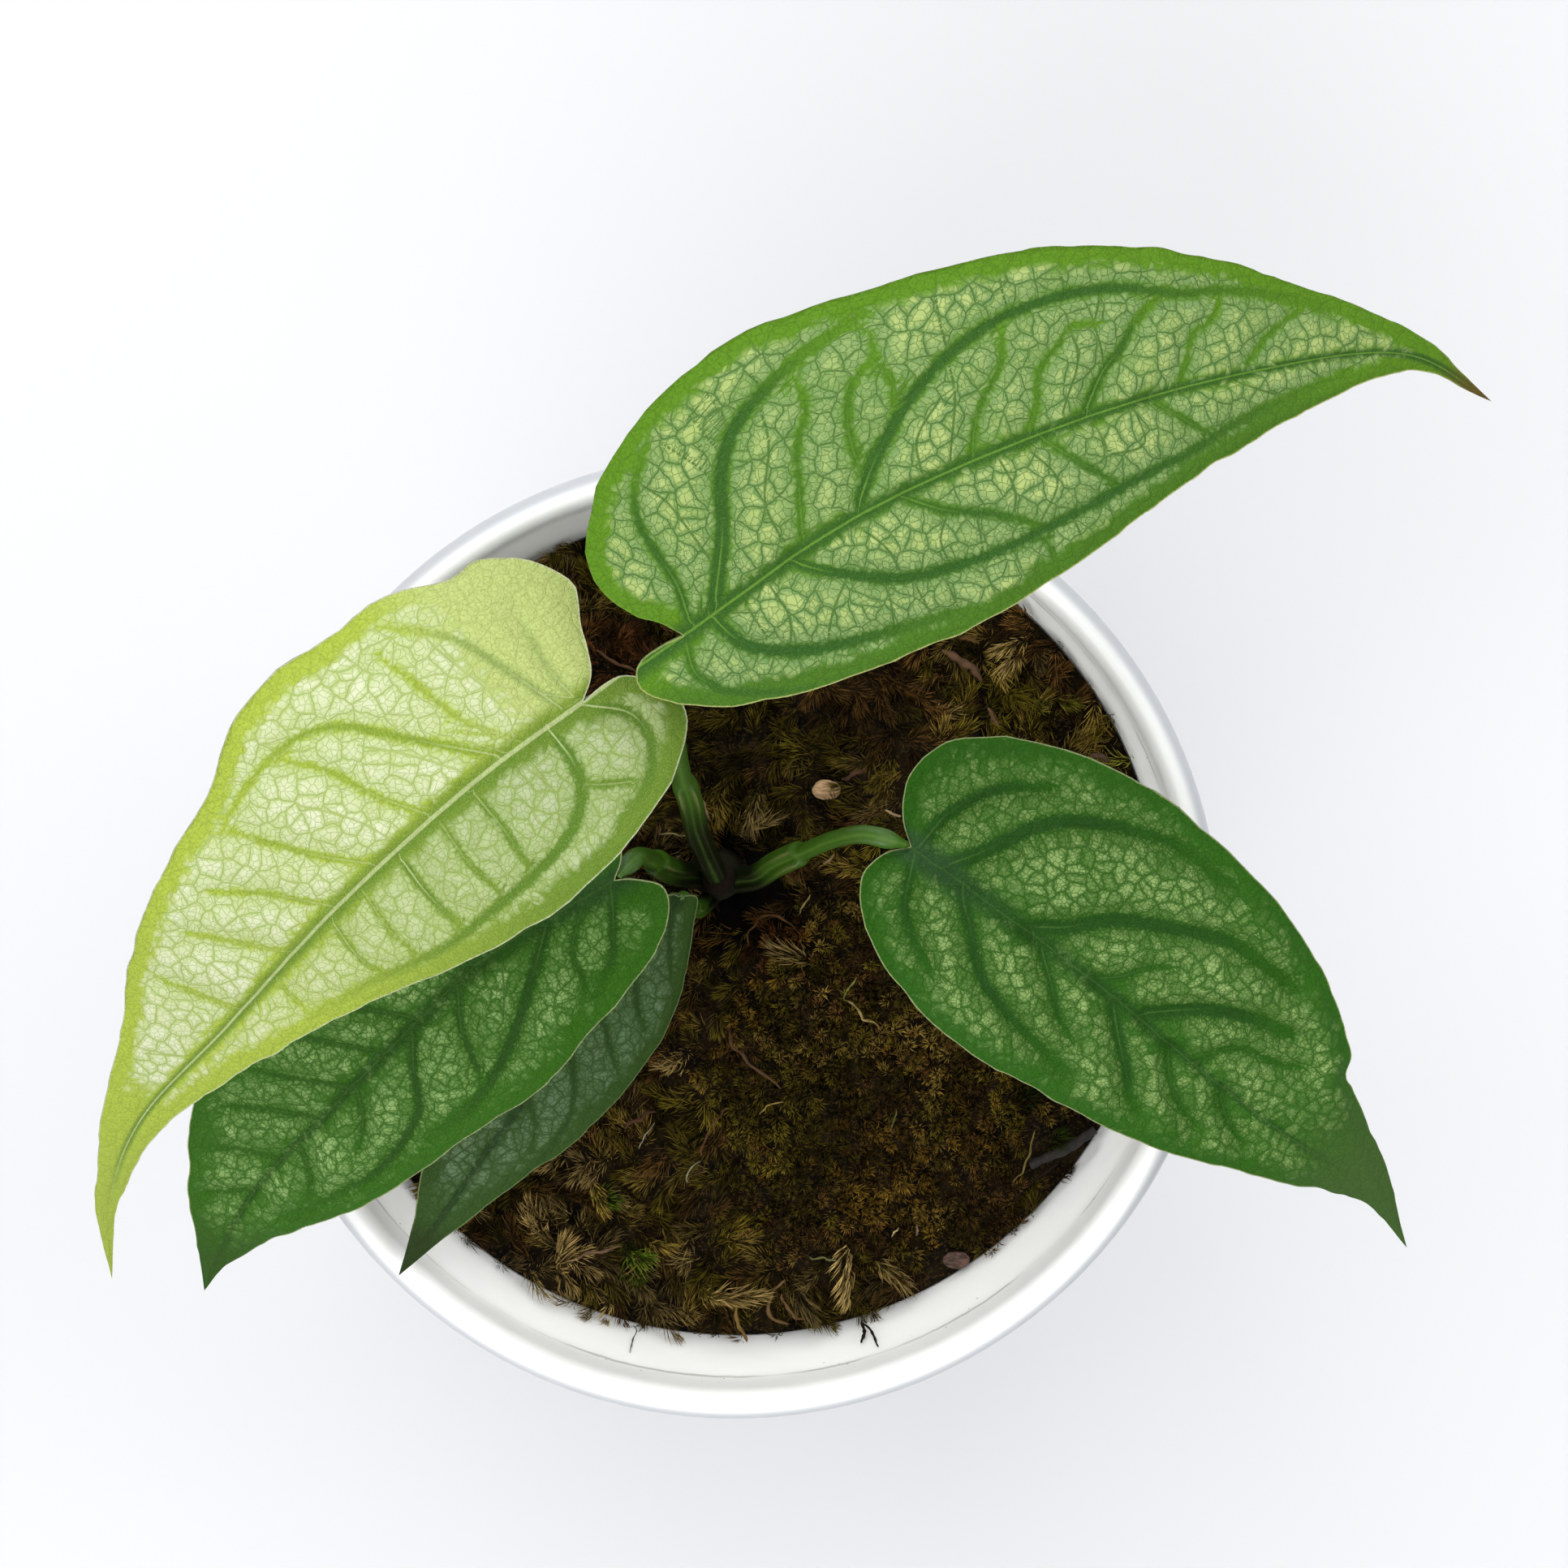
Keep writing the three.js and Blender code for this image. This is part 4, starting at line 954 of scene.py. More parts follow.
BLADES = [
    {
        "node": "leaf_1", "slot": "leaf_silver_green",
        "midrib": [(-4.5, 41.5, 168), (13.5, 54, 171), (35, 63.5, 168), (56.5, 69.5, 158),
                   (75.5, 71.5, 146), (86, 66.5, 138)],
        "left": [(-1.2, 2.6), (-2.9, 4.6), (-4.3, 9), (-3.3, 13), (2, 18), (12, 21.7), (21, 22.5),
                 (32.5, 21), (50, 18.5), (65, 14), (80, 7.5), (94, 2.2)],
        "right": [(-3, 0.4), (-5.8, 0.1), (-7, -1.8), (-4.8, -5.4), (1.2, -9.8), (12.5, -14), (28, -16),
                  (45, -13.7), (60, -9.6), (78, -5), (94, -1.6)],
        "fold": 0.12, "curl": 0.22, "half_width": 30, "roll": (4, 0), "wave": 0.5, "wave_length": 31,
        "veins": [
            (1.2, [(1.5, 0.8), (2.9, 5), (3.2, 9), (3.6, 12.5), (5.4, 15.5), (9, 18.3)]), (1.8, [(5, 1),
            (9.5, 5.6), (11.2, 7.8), (13.1, 10.8), (15.3, 13.3), (18, 15.2), (21.6, 16.5), (25, 17.6),
            (32, 18.7)]), (1.5, [(23.5, 1.2), (26.3, 3.9), (29.8, 6.7), (32, 8.3), (35, 10), (37.8, 11.3),
            (43, 12.7), (50.7, 13), (57.6, 11.8), (62.7, 10), (69.6, 8.9), (76.5, 7), (82, 5.2)]),
            (1.2, [(49.8, 0.9), (52.8, 4.2), (55, 5.6), (57, 7.5), (60.5, 10)]), (0.7, [(61.4, 0.9),
            (62.7, 3.1), (64, 5.3), (66.6, 6.4), (68, 8.8)]), (0.7, [(70.2, 1), (72.1, 2.8), (74.6, 4.2),
            (78.1, 5.8)]), (0.9, [(16.7, 1.2), (18.3, 4.2), (19.7, 7), (20.8, 9.4), (23.4, 12.8),
            (23.7, 16.8)]), (0.9, [(24.9, 3), (25.7, 8), (26.8, 10.8), (28.2, 12.7), (31.1, 14.2)]),
            (0.7, [(30.6, 7.8), (31.6, 11.3), (31.2, 13.5), (31.7, 17.9)]), (0.9, [(36.4, 0.9),
            (37.5, 3.1), (39.1, 5.3), (42.4, 8.6), (43.8, 12.4)]), (0.8, [(42.9, 0.9), (44.4, 2.8),
            (46, 6.4), (48.8, 8.2), (50.2, 9.6), (53.4, 9.1)]), (0.5, [(53, 4.2), (53.1, 8.9),
            (54.8, 12.2)]), (0.6, [(37.8, 11.6), (38, 14.5), (38.6, 17.6)]), (0.6, [(45.1, 13),
            (44.9, 14.9), (45.2, 17)]), (0.6, [(51.2, 13.2), (51.1, 15.6)]), (0.5, [(7.4, 4), (7.7, 9.1),
            (7.6, 12.7), (6.4, 15.6)]), (0.5, [(12.5, 10.2), (12.4, 13), (10.9, 17.4)]),
            (0.5, [(14.7, 13.2), (14.4, 18.4)]), (0.5, [(16.8, 15), (16.8, 19.4)]), (0.5, [(20.8, 16.5),
            (20.5, 19.8)]), (0.4, [(14.8, 2.2), (15.6, 6.4), (18.9, 11.3), (20, 15.9)]),
            (0.4, [(30.6, 1.2), (31.5, 4.5), (35.3, 7.4)]), (0.4, [(33.9, 1.2), (36.7, 7), (37.5, 11)]),
            (0.4, [(46.8, 1.2), (50.1, 6.1), (50.4, 9.4)]), (1.0, [(-0.3, -1), (-1.2, -4), (0.2, -7),
            (3, -9.5), (7, -12), (13, -13.6)]), (1.6, [(3.8, -0.4), (4.3, -3), (5.1, -4.9), (9, -8.4),
            (13.9, -10.7), (20.8, -12.6), (29, -14.2)]), (1.3, [(14.5, -0.8), (16.7, -3.2), (18.9, -5),
            (23.5, -7.9), (28.7, -9.2), (35, -9.8), (45.2, -9.1), (53.4, -7.9), (60, -6.9), (66.9, -5.1),
            (76.5, -3.2), (84, -1.9)]), (1.1, [(28.2, -0.8), (31.2, -3.5), (35.6, -5.8), (40.6, -9)]),
            (0.9, [(44.1, -0.7), (46.8, -4), (51, -8.3)]), (0.9, [(57.8, -0.8), (60.9, -3.5),
            (63.4, -5.4)]), (0.5, [(68.2, -0.8), (72.4, -2.7), (75.4, -3.4)]), (0.4, [(77, -0.3),
            (80, -2.4)]), (0.6, [(10.9, -0.8), (10.6, -5), (8.4, -7.8)]), (0.4, [(7.6, -1), (7.3, -5.2)]),
            (0.6, [(18.6, -4.8), (15, -7), (12, -9.7)]), (0.6, [(21.6, -6.8), (21.4, -8.8), (20, -12)]),
            (0.5, [(24.7, -8.2), (24.7, -12.6)]), (0.5, [(22.2, -1), (23.8, -4.6), (23.8, -8)]),
            (0.5, [(31.3, -4), (29.4, -6.2), (29.3, -9.2)]), (0.4, [(34.2, -5.2), (33.2, -9.4)]),
            (0.5, [(38.7, -0.9), (39, -4.6), (38.2, -6.6)]), (0.4, [(42.2, -1.3), (43.8, -5.1),
            (40.6, -8.6)]), (0.4, [(49.9, -0.9), (50.1, -4.5), (48, -5.2)]), (0.4, [(54.9, -0.7),
            (54.7, -4.6), (50.1, -4.5)]), (0.5, [(28.1, -9.6), (28, -13.4)]), (0.5, [(32.6, -9.8),
            (32.6, -13.6)]), (0.4, [(36.5, -9.8), (36.5, -13)]), (0.8, [(40.5, -9.2), (40.7, -12.6)]),
            (0.5, [(44.2, -9.2), (44.3, -12)]), (0.5, [(48.5, -8.8), (48.7, -11)])],
        "tones": {"deep": (54, 100, 38), "green": (106, 157, 32), "silver": (124, 163, 100),
                  "bright": (198, 218, 134), "line": (122, 168, 62), "edge": (196, 200, 128),
                  "tip": (112, 92, 44)},
        "margin": 2.1, "plain_from": 92, "rib_band": 1.6, "quilt": 0.42, "mottle": 0.18,
        "fade": (-0.4, 0.6), "net_green": 0.15, "net": (0.46, 1.25), "band": 0.9, "right_shade": 0.5,
        "tip_at": (96, 106), "rib_light": 0.75, "islands": 0.25, "rib_line": 0.15, "edge_left": 0.1,
    },
    {
        "node": "leaf_2", "slot": "leaf_lime",
        "midrib": [(-15.5, 34, 160), (-26.5, 26, 162), (-41.5, 12.5, 158), (-56, -3, 147),
                   (-68.5, -16.5, 134), (-74, -28.5, 122), (-75.5, -39.5, 112)],
        "left": [(-3, -0.2), (-5, 0.1), (-7, 1.8), (-8.7, 5.2), (-8.2, 7.6), (-6, 10.3), (-1.5, 13),
                 (6, 15.6), (15.5, 16.5), (25, 15.3), (35, 12.6), (48, 8.4), (64, 4.7), (86, 2.2),
                 (101, 0.9)],
        "right": [(-2.5, -2), (-4.6, -7), (-6.6, -11), (-4, -16), (-1.4, -18.3), (1, -19.2), (3.3, -18.9),
                  (5.8, -19.4), (8.1, -20.7), (12.1, -21.9), (14.5, -21.8), (18, -22.3), (22.4, -22.9),
                  (27.4, -22.5), (32.3, -20.6), (36, -18.6), (44.6, -17.1), (58.5, -13.3), (72, -7),
                  (86, -3.2), (101, -1.3)],
        "fold": 0.14, "curl": 0.2, "half_width": 30, "roll": (0, -20), "wave": 1.2, "wave_length": 23,
        "veins": [
            (1.2, [(0, 0.5), (-3.4, 4.2), (-3.2, 8), (0, 11.5), (5, 13.2)]), (1.3, [(4.8, 0.6),
            (4.8, 4.9), (5.9, 7.8), (9.4, 10.6), (14.4, 11.7), (20, 11.9), (30, 11.3), (40, 8.6),
            (50, 6.3)]), (0.7, [(1, 10), (4, 8.2), (5.5, 7)]), (0.8, [(15.5, 1), (15.5, 6.4),
            (16.2, 11.6)]), (0.5, [(9.5, 1.5), (8.7, 5.2), (11.8, 6.8), (11, 10)]), (0.7, [(20.5, 1.4),
            (21, 6), (20.6, 11.5)]), (1.1, [(26.6, 1.4), (27.1, 6), (26.8, 11)]), (0.7, [(32.5, 1.2),
            (33.5, 6), (33.2, 9.8)]), (0.9, [(38, 1.2), (39, 5.6), (38.4, 8.8)]), (0.7, [(49, 1),
            (49.5, 5)]), (0.6, [(59, 1), (59, 3.5)]), (0.6, [(43.5, 1), (44, 6)]), (0.9, [(0.6, -1),
            (1, -4), (0.8, -8), (0.3, -12)]), (1.0, [(2.3, -0.6), (5.1, -7.9), (7.6, -13.6), (12, -19)]),
            (0.7, [(8.7, -1.1), (11.5, -6), (13, -13), (14, -17)]), (0.5, [(6, -3), (8, -8), (9.5, -14)]),
            (1.0, [(10.9, -0.6), (15.1, -5.8), (18.7, -10.8), (21.6, -14.4), (25.1, -16.3), (30.9, -16.5),
            (38, -15)]), (0.8, [(20.9, -0.6), (23.7, -6.5), (25, -11), (27.5, -15.3)]), (0.5, [(15, -2),
            (18, -7), (21, -11)]), (0.8, [(29.4, -0.8), (33, -5.8), (35.9, -11.5), (37.3, -14.4)]),
            (0.8, [(36.6, -0.8), (40.1, -6.5), (44.4, -11.5)]), (0.5, [(25.5, -1), (27, -6), (30, -11)]),
            (0.7, [(45.1, -0.8), (48, -6.5), (50.1, -10)]), (0.7, [(55.9, -0.8), (57.3, -6.5),
            (58.4, -9.4)]), (0.6, [(66, -0.8), (69, -4.5)])],
        "tones": {"deep": (98, 138, 46), "green": (192, 214, 78), "silver": (210, 230, 158),
                  "bright": (246, 252, 214), "line": (224, 236, 172), "edge": (226, 230, 190),
                  "lobe": (216, 232, 142), "tip": (184, 206, 86)},
        "margin": 2.2, "plain_from": 74, "rib_band": 2.4, "quilt": 0.35, "mottle": 0.2,
        "fade": (-0.4, 0.8), "net_green": 0.6, "net": (0.5, 1.4), "band": 0.9, "left_shade": 0.8,
        "left_panel": 0.72, "tip_at": (80, 100), "right_strength": 0.75, "plain_lobe": 7,
        "rib_light": 0.65, "islands": 0.15, "rib_line": 0.28, "edge_left": 0.8,
    },
    {
        "node": "leaf_3", "slot": "leaf_dark_green",
        "midrib": [(-13.5, 11, 128), (-28, 2.5, 129), (-38, -7, 126), (-48.5, -18, 119), (-59, -30, 110),
                   (-66, -43.5, 100)],
        "left": [(-2, 1), (-4.6, 3.6), (-3.5, 6.6), (1.3, 10.3), (10.5, 14), (22, 16.2), (35.5, 14.3),
                 (48, 12.7), (60, 9.4), (72, 4.3), (79, 1)],
        "right": [(-2, -2), (-3.5, -6), (-1.5, -11), (5, -16), (15, -19), (27, -19.5), (40, -17.5),
                  (50, -15), (58, -12.5), (68, -7), (77, -2.8)],
        "fold": 0.2, "curl": 0.25, "half_width": 24, "roll": (-8, -8), "wave": 0.4, "wave_length": 27,
        "veins": [
            (1.2, [(1, 0.8), (2.5, 4), (4.5, 7.5), (8, 10.5)]), (0.9, [(5, 1), (8.5, 5), (9, 9),
            (11, 11)]), (1.5, [(9.6, 0.8), (13.8, 4.6), (18.5, 7.6), (24.4, 10), (32, 11.5), (40, 11)]),
            (1.1, [(23, 1), (26, 4.2), (28.3, 8.5), (29.4, 10.6)]), (0.6, [(16, 1), (18, 4), (21, 6.8)]),
            (1.2, [(30.9, 0.7), (34.4, 3.9), (38, 7.5), (42.3, 8.7), (48.7, 9.3), (54.4, 8.2),
            (65, 5.5)]), (1.0, [(42.3, 1), (45, 3.9), (48.7, 5.7)]), (0.9, [(54.4, 1), (56.6, 3.9),
            (60, 6)]), (1.0, [(2, -0.8), (4, -5), (6, -9), (12, -13.5), (20, -15)]), (1.0, [(10, -0.8),
            (14, -6), (18, -11), (24, -14)]), (1.0, [(20, -0.8), (24, -6), (29, -11.5)]),
            (1.0, [(29.4, -1), (32.3, -6), (36, -11)]), (0.9, [(35.9, -1.2), (39.4, -7.5), (42, -11.5)]),
            (0.9, [(43, -1), (45.9, -6), (48.5, -10.6)]), (0.9, [(49.4, -1.2), (53, -6.8), (55.5, -9.5)]),
            (0.8, [(58, -1), (60, -5.4), (62.3, -7.9)]), (0.8, [(65, -1), (67.3, -4.4)])],
        "tones": {"deep": (42, 78, 30), "green": (62, 118, 26), "silver": (104, 148, 70),
                  "bright": (164, 200, 122), "line": (84, 122, 46), "edge": (198, 206, 150),
                  "tip": (60, 98, 32)},
        "margin": 3, "plain_from": 70, "rib_band": 2.2, "quilt": 0.7, "mottle": 0.6, "fade": (-1.2, 2.0),
        "net_green": 0.3, "net": (0.55, 1.6), "band": 0.75, "joint": 0.2, "tip_at": (66, 80),
        "rib_light": 0.4, "islands": 0.8, "rib_line": 0.12, "edge_left": 0.8,
    },
    {
        "node": "leaf_4", "slot": "leaf_shade_green",
        "midrib": [(-6.5, 7, 110), (-14, -2.5, 113), (-21.5, -12, 114), (-28, -21, 112),
                   (-35, -31.5, 108), (-41.5, -41, 103)],
        "left": [(-1.5, 2.1), (0.6, 4), (4.6, 7), (11, 10.2), (20, 11.3), (31.5, 9.5), (42.5, 5.5),
                 (54, 1.8)],
        "right": [(0.3, -1), (3, -4), (7, -8), (14, -11), (24, -12), (35, -10), (46, -5.3), (54, -2.2)],
        "fold": 0.12, "curl": 0.2, "half_width": 18, "roll": (-40, -10), "wave": 0.3, "wave_length": 25,
        "veins": [
            (0.9, [(2, 0.6), (5, 3), (8, 6.5)]), (0.9, [(9.4, 1), (13, 4), (15.1, 7.6)]),
            (0.8, [(16.6, 0.8), (19.4, 4.7), (22, 8.6)]), (0.8, [(22.3, 0.6), (25.9, 4), (30, 6.2),
            (38, 6.4), (46, 4)]), (0.7, [(30.9, 0.6), (33.7, 3.3), (37.3, 4.9)]), (0.6, [(38, 0.5),
            (41.6, 1.9), (45, 2.8)]), (0.9, [(4, -0.6), (8, -4), (12, -7.5), (20, -9)]),
            (0.8, [(12, -0.6), (16, -4), (20, -8)]), (0.8, [(20, -0.6), (24, -4), (28, -7.6)]),
            (0.7, [(28, -0.6), (32, -3.5), (36, -6)]), (0.6, [(36, -0.6), (40, -2.6), (44, -4)])],
        "tones": {"deep": (38, 64, 32), "green": (62, 94, 38), "silver": (88, 120, 74),
                  "bright": (120, 148, 110), "line": (62, 92, 44), "edge": (150, 166, 110),
                  "tip": (50, 70, 30)},
        "margin": 2.4, "plain_from": 48, "rib_band": 1.3, "quilt": 0.25, "mottle": 0.4,
        "fade": (-0.8, 1.2), "net_green": 0.4, "net": (0.5, 1.4), "band": 0.8, "tip_at": (50, 56),
        "rib_light": 0.35, "islands": 0.6, "rib_line": 0.16, "edge_left": 0.6,
    },
    {
        "node": "leaf_5", "slot": "leaf_dark_green",
        "midrib": [(21, 14.5, 124), (31, 7.5, 126), (44, -2.5, 123), (55.5, -12.5, 118), (68, -22.5, 111),
                   (77.5, -29, 105), (84, -38.5, 98)],
        "left": [(-2.8, 2.5), (-4.9, 7), (-3.2, 13), (4, 18.1), (14, 21.5), (28.5, 22), (43, 20.3),
                 (53, 17), (60.7, 12.5), (62.3, 10.3), (65.5, 9.1), (72, 5.2), (80, 2)],
        "right": [(-2, -2.4), (-2.5, -6), (1.5, -11), (9, -14.3), (20, -15.6), (33, -14), (47, -10.9),
                  (61, -6.2), (72, -3.1), (82, -0.8)],
        "fold": 0.18, "curl": 0.25, "half_width": 26, "roll": (4, 0), "wave": 0.4, "wave_length": 28,
        "veins": [
            (1.4, [(0.9, 0.9), (1.6, 6), (5.1, 11.9), (9.4, 15.4)]), (1.8, [(5, 1), (6.9, 3.7), (8.8, 7),
            (10.4, 10.3), (12.6, 13), (15.4, 15), (18.7, 16.6), (24.2, 18.5), (32, 19)]),
            (2.0, [(17.9, 1.2), (20.3, 2.9), (22.5, 5.4), (24.7, 7.6), (27.5, 9.2), (30.5, 10.9),
            (35.5, 13.6), (40, 14.4), (47.9, 14.7)]), (0.9, [(27.7, 0.7), (29.7, 2.6), (30.8, 4.8),
            (33, 7)]), (2.0, [(35.2, 1), (37.7, 3.4), (40, 5.6), (42.4, 7), (45.4, 8.4), (47.9, 9.2),
            (52, 10)]), (0.8, [(45.4, 1.2), (46.5, 4), (49.2, 5.6), (52.8, 6.2), (56.1, 7.6)]),
            (1.2, [(1.1, -0.7), (2.2, -3.4), (3.6, -6.2), (6.3, -8.4), (11, -10.8)]), (1.5, [(7.7, -0.4),
            (9.3, -2), (11.5, -3.7), (13.7, -5.9), (16.5, -7.8), (19.5, -8.7), (22.8, -9.5), (27, -10),
            (32.4, -10.6)]), (1.1, [(19.8, -0.7), (22, -2.3), (24.2, -4), (26.9, -5.9), (29.7, -6.9)]),
            (1.6, [(31.6, -1), (33.6, -2.6), (36.3, -4.5), (38.5, -5.9), (40.2, -7.3), (42.4, -8.4)]),
            (0.9, [(41, -0.7), (42.4, -2.3), (44.8, -4), (47.6, -5.1), (50, -5.6)]), (0.9, [(50.3, -1),
            (52.8, -2.6), (56.4, -3.7)])],
        # The deep tone's bluish cast is partly painted sheen, the sky's reflection along the dark vein
        # bands.
        "tones": {"deep": (36, 72, 32), "green": (54, 112, 24), "silver": (94, 134, 60),
                  "bright": (164, 196, 118), "line": (84, 128, 54), "edge": (186, 196, 140),
                  "tip": (76, 110, 50)},
        "margin": 2.4, "plain_from": 64, "rib_band": 2.2, "quilt": 0.95, "mottle": 0.6,
        "fade": (-1.4, 2.4), "net_green": 0.3, "net": (0.6, 1.9), "band": 0.6, "joint": 0.4,
        "tip_at": (58, 74), "rib_light": 0.4, "islands": 0.75, "rib_line": 0.12, "edge_left": 0.8,
    },
]


def blade_margin(blade, outline, length):
    """The margin from the notch to the tip as evenly spaced points, with a fine wave of its own."""
    line = resample(spline([(0, 0)] + outline + [(length, 0)]), np.linspace(0, 1, 900))
    along = lengths_along(line)
    slope = np.gradient(line, axis=0)
    outward = np.stack([-slope[:, 1], slope[:, 0]], -1)
    outward /= np.linalg.norm(outward, axis=1, keepdims=True)
    wave = 0.32 * (hills(along, 0 * along, 3.1, 6) - 0.5) + 0.12 * (hills(along, 0 * along, 1.3, 8) - 0.5)
    ends = smoothstep(along, 0, 8) * smoothstep(along[-1] - along, 0, 12)
    return line + outward * (wave * ends)[:, None]


def blade_rows(margin, length):
    """Start on the midrib and end on the margin of each row. A row starts VEIN_SLANT times its width
    behind its end. Rows of the lobe all start at the stalk joint, as its veins do."""
    starts = np.maximum.accumulate(np.maximum(margin[:, 0] - VEIN_SLANT * np.abs(margin[:, 1]), 0))
    lobe_end = np.flatnonzero(starts == 0)[-1]
    lobe_places = lobe_end * (np.arange(LOBE_ROWS) / LOBE_ROWS) ** 1.6
    body_starts = np.linspace(0, length, BODY_ROWS + 1)
    rising = np.arange(lobe_end, len(margin))
    body_places = np.interp(body_starts, starts[rising], rising)
    body_places[-1] = len(margin) - 1
    places = np.concatenate([lobe_places, body_places])
    ends = np.stack([np.interp(places, np.arange(len(margin)), axis) for axis in margin.T], -1)
    return np.concatenate([np.zeros(LOBE_ROWS), body_starts]), ends


def blade_grid(blade, outline, length):
    """Points of one half of the flattened blade. Each row is a quadratic curve from the midrib that
    bends towards the tip, as the side veins do."""
    starts, ends = blade_rows(blade_margin(blade, outline, length), length)
    t = (np.linspace(0, 1, BLADE_COLUMNS + 1) ** 1.25)[:, None]
    start = np.stack([starts, 0 * starts], -1)[:, None]
    bend = np.stack([starts + 0.3 * (ends[:, 0] - starts), 0.6 * ends[:, 1]], -1)[:, None]
    return (1 - t) ** 2 * start + 2 * t * (1 - t) * bend + t ** 2 * ends[:, None]


def blade_space(blade, curve, x, y, lift):
    """A place on the flattened blade, lifted off it, in space. The sheet hangs on its midrib: each
    side rises by the fold and sinks by the curl, rolls about the midrib, and its margin waves."""
    along = lengths_along(curve)
    length = along[-1]
    on_rib = np.clip(x, 0, length)
    slopes = np.gradient(curve, along, axis=0)
    middle = np.stack([np.interp(on_rib, along, axis) for axis in curve.T], -1)
    forward = np.stack([np.interp(on_rib, along, axis) for axis in slopes.T], -1)
    forward /= np.linalg.norm(forward, axis=-1, keepdims=True)
    left = np.stack([-forward[..., 1], forward[..., 0], 0 * x], -1)
    left /= np.linalg.norm(left, axis=-1, keepdims=True)
    upper = np.cross(forward, left)
    roll = np.radians(blade["roll"][0] + (blade["roll"][1] - blade["roll"][0]) * on_rib / length)
    share = y / blade["half_width"]
    height = (blade["fold"] * np.abs(y) - blade["curl"] * y * share + lift
              + blade["wave"] * share ** 2 * np.sin(2 * math.pi * x / blade["wave_length"]))
    beyond = np.minimum(x, 0) + np.maximum(x - length, 0)
    leftward = y * np.cos(roll) - height * np.sin(roll)
    upward = y * np.sin(roll) + height * np.cos(roll)
    return (middle + forward * beyond[..., None] + left * leftward[..., None]
            + upper * upward[..., None])


def nearest_on_line(x, y, line):
    """Signed distance from places to a line, positive to its left, and the share along it of the
    nearest point."""
    start, step = line[:-1], np.diff(line, axis=0)
    gap_x, gap_y = x[:, None] - start[:, 0], y[:, None] - start[:, 1]
    t = np.clip((gap_x * step[:, 0] + gap_y * step[:, 1]) / (step ** 2).sum(1), 0, 1)
    off_x, off_y = gap_x - t * step[:, 0], gap_y - t * step[:, 1]
    distance = np.hypot(off_x, off_y)
    nearest = distance.argmin(1)
    pick = np.arange(len(x)), nearest
    side = np.sign(step[nearest, 0] * off_y[pick] - step[nearest, 1] * off_x[pick])
    return distance[pick] * np.where(side == 0, 1, side), (nearest + t[pick]) / len(step)


def vein_values(blade, x, y, to_margin, length):
    """For each place on the flattened blade: how far it lies outside the nearest wide vein, the
    signed distance to that vein's middle, its half width, its darkness and the light line on it;
    the same two distances for the nearest thin vein; how far inside the silver area the place
    lies; and the depth of the wide veins' grooves."""
    outside, line, half, weight, light, thin_outside, thin_line = np.full((7, len(x)), 9.0)
    groove = np.zeros(len(x))
    for width, points in blade["veins"]:
        distance, share = nearest_on_line(x, y, spline(points, 6))
        own_half = (1 - 0.35 * share) * width / 2
        off = np.abs(distance) - own_half
        if width < WIDE_VEIN:
            closer = off < thin_outside
            thin_outside = np.where(closer, off, thin_outside)
            thin_line = np.where(closer, distance, thin_line)
            continue
        closer = off < outside
        outside = np.where(closer, off, outside)
        line = np.where(closer, distance, line)
        half = np.where(closer, own_half, half)
        own_weight = smoothstep(width, 0.2, 1.4) * (1 - 0.85 * smoothstep(share, 0.6, 1))
        weight = np.where(closer, own_weight, weight)
        along = share * lengths_along(np.array(points))[-1]
        light = np.where(closer, smoothstep(along, 9, 1), light)
        trough = np.exp(-(distance / (0.5 + own_half)) ** 2) * np.minimum(2 * own_half, 1.2)
        groove = np.maximum(groove, trough)
    rib_side = np.abs(y) - blade["rib_band"] * (1 - 0.7 * np.clip(x / length, 0, 1)) * 0.75
    lobe_side = np.hypot(np.minimum(x, 0) * 0.7, y) - 2.2 + 0.5 * np.clip(x, 0, 9)
    lobe_side = np.where(y < 0, np.minimum(lobe_side, 0.35 * (x - blade["plain_lobe"])), lobe_side)
    silver = np.minimum.reduce([
        (to_margin - blade["margin"]) * 0.8, rib_side, lobe_side, (blade["plain_from"] - x) * 0.25])
    values = {"outside": outside, "line": line, "half": half, "weight": weight, "light": light,
              "thin_outside": thin_outside, "thin_line": thin_line, "silver": silver}
    return values, groove


